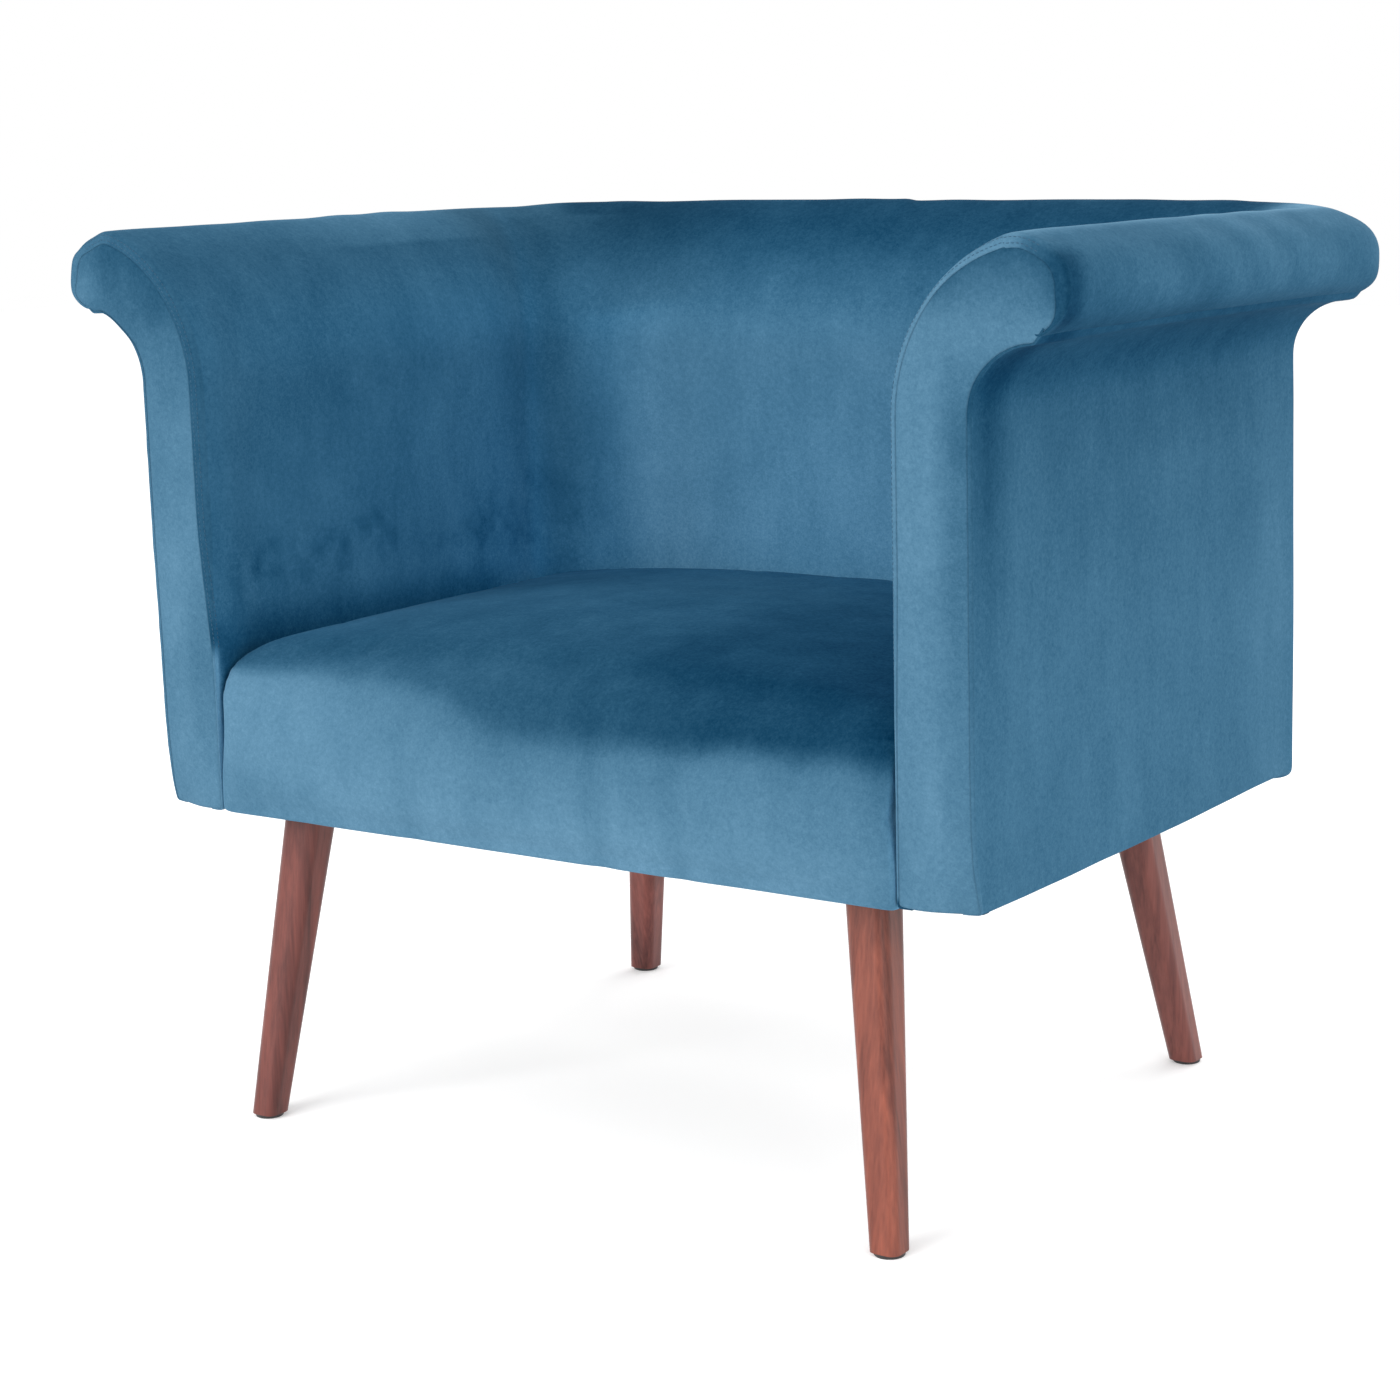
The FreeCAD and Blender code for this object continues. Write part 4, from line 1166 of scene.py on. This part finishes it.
def seat_tone(p):
    """Tone of the seat, with painted light and shade: a dark top and a light front, with the line between
    them over the edge.
    """
    x, y, z = p.T
    line_z = np.interp(x, *SEAT_LINE_Z) + 0.004 * noise3(p, 0.035, 25)
    wide = np.interp(x, [-0.3, 0.0, 0.3], [0.019, 0.024, 0.022])
    top = np.interp(x + 0.015 * noise3(p, 0.05, 26), *SEAT_TOP_TONE)
    # painted light where the top turns over to the front, painted shade along the back
    top = top + 8 * smooth((FRONT_Y + 0.055 - y) / 0.03)
    top = top - np.interp(x, [-0.1, 0.15], [26, 4]) * np.exp(-np.maximum(BACK_IN - y, 0) / 0.058)
    front = np.interp(x, [-0.31, -0.05, 0.15, 0.31], [104, 103, 100, 94])
    # painted shade in a band under the front's top edge
    below = np.maximum(line_z - z, 0)
    fade = np.interp(x, [-0.24, -0.15, -0.08, -0.02, 0.05], [0.018, 0.028, 0.038, 0.032, 0.028])
    front = front - np.interp(x, *SEAT_DIM) * np.exp(-below / fade)
    # painted shade beside the sitter's left arm
    front = front - 18 * np.exp(-np.maximum(HALF_IN - x, 0) / 0.018)
    front = front - 8 * smooth((0.31 - z) / 0.03) * smooth((-x - 0.18) / 0.1)
    front = front + 5 * smooth((0.31 - z) / 0.03) * smooth((x + 0.15) / 0.1)
    tone = front + (top - front) * smooth((z - line_z) / wide + 0.5)
    # painted shade in the front's folds
    lean = x + FRONT_LEAN * (z - LEAN_FROM)
    for at, width, depth in FRONT_FOLDS:
        tone = tone - 9 * depth / 0.001 * bell(lean, at, 1.4 * width) * smooth((0.362 - z) / 0.03)
    # painted shade on the top along the arms and the back; the top also darker towards the sitter's right in
    # its middle
    sides = np.maximum(np.minimum(HALF_IN - np.abs(x), BACK_IN - y), 0)
    tone = tone - 15 * np.exp(-sides / 0.016) * (z > 0.375)
    tone = tone - 10 * smooth((-0.08 - x) / 0.10) * bell(y, 0.02, 0.06) * (z > 0.375)
    tone = tone + 5 * noise3(p, (0.055, 0.055, 0.10), 21) + 3.5 * noise3(p, (0.020, 0.020, 0.045), 22)
    return tone


def seat(mat):
    """The tight seat: crowned, puffed, with soft folds down its front, pressed flat at arms and sill."""
    ob, x1, y1 = seat_block()
    modify(ob, "REMESH", mode="VOXEL", voxel_size=SEAT_VOXEL)
    soften(ob, 2)
    p = coords(ob)
    lift = smooth((p[:, 2] - 0.345) / (SEAT_SIDE_Z - 0.345))
    p[:, 2] += lift * (seat_height(p[:, 0], p[:, 1]) - SEAT_SIDE_Z)
    set_coords(ob, p)
    start = p.copy()
    puff(ob, 4.0, 0.009, 1.0, pinned=(p[:, 2] < 0.272))
    p = coords(ob)
    outer = np.maximum(smooth((start[:, 2] - DECK_Z - 0.012) / 0.02), start[:, 1] < FRONT_Y + 0.006)
    p = start + (p - start) * outer[:, None]
    front = smooth((FRONT_Y + 0.012 - start[:, 1]) / 0.010) * smooth((0.372 - start[:, 2]) / 0.03)
    for at, width, depth in FRONT_FOLDS:
        lean = p[:, 0] + FRONT_LEAN * (p[:, 2] - LEAN_FROM)
        p[:, 1] += 2.2 * depth * front * bell(lean, at, width)
    p[:, 1] += 0.0008 * front * noise3(p, (0.05, 0.05, 0.09), 23)
    p[:, 2] += 0.0010 * lift * noise3(p, (0.07, 0.07, 0.07), 24)
    p[:, 0] = np.clip(p[:, 0], -x1, x1)
    p[:, 1] = np.minimum(p[:, 1], y1)
    p[:, 2] = np.maximum(p[:, 2], SEAT_LOWEST)
    set_coords(ob, p)
    soften(ob, 1)
    p = coords(ob)
    side = x1 - np.abs(p[:, 0])
    p[:, 0] += np.sign(p[:, 0]) * np.clip(side, 0, 1) * 0.75 * smooth((0.0055 - side) / 0.0035)
    above = p[:, 2] - SEAT_SILL
    p[:, 2] -= np.clip(above, 0, 1) * 0.6 * smooth((0.0045 - above) / 0.003)
    set_coords(ob, p)
    p = coords(ob)
    paint(ob, seat_tone(p), seat_light(p, triples(ob.data.vertex_normals, "vector")))
    velvet_piece(ob, mat, 0.75, "seat_cover", "seat_foam")


# ---------------- build
camera()
studio()
dress_cad()
VELVET = velvet()
COVER_POINTS, COVER_RUN = inside_and_roll(VELVET)
outside_cover(VELVET)
facings(VELVET)
topstitch(COVER_POINTS, COVER_RUN, thread())
seat(VELVET)
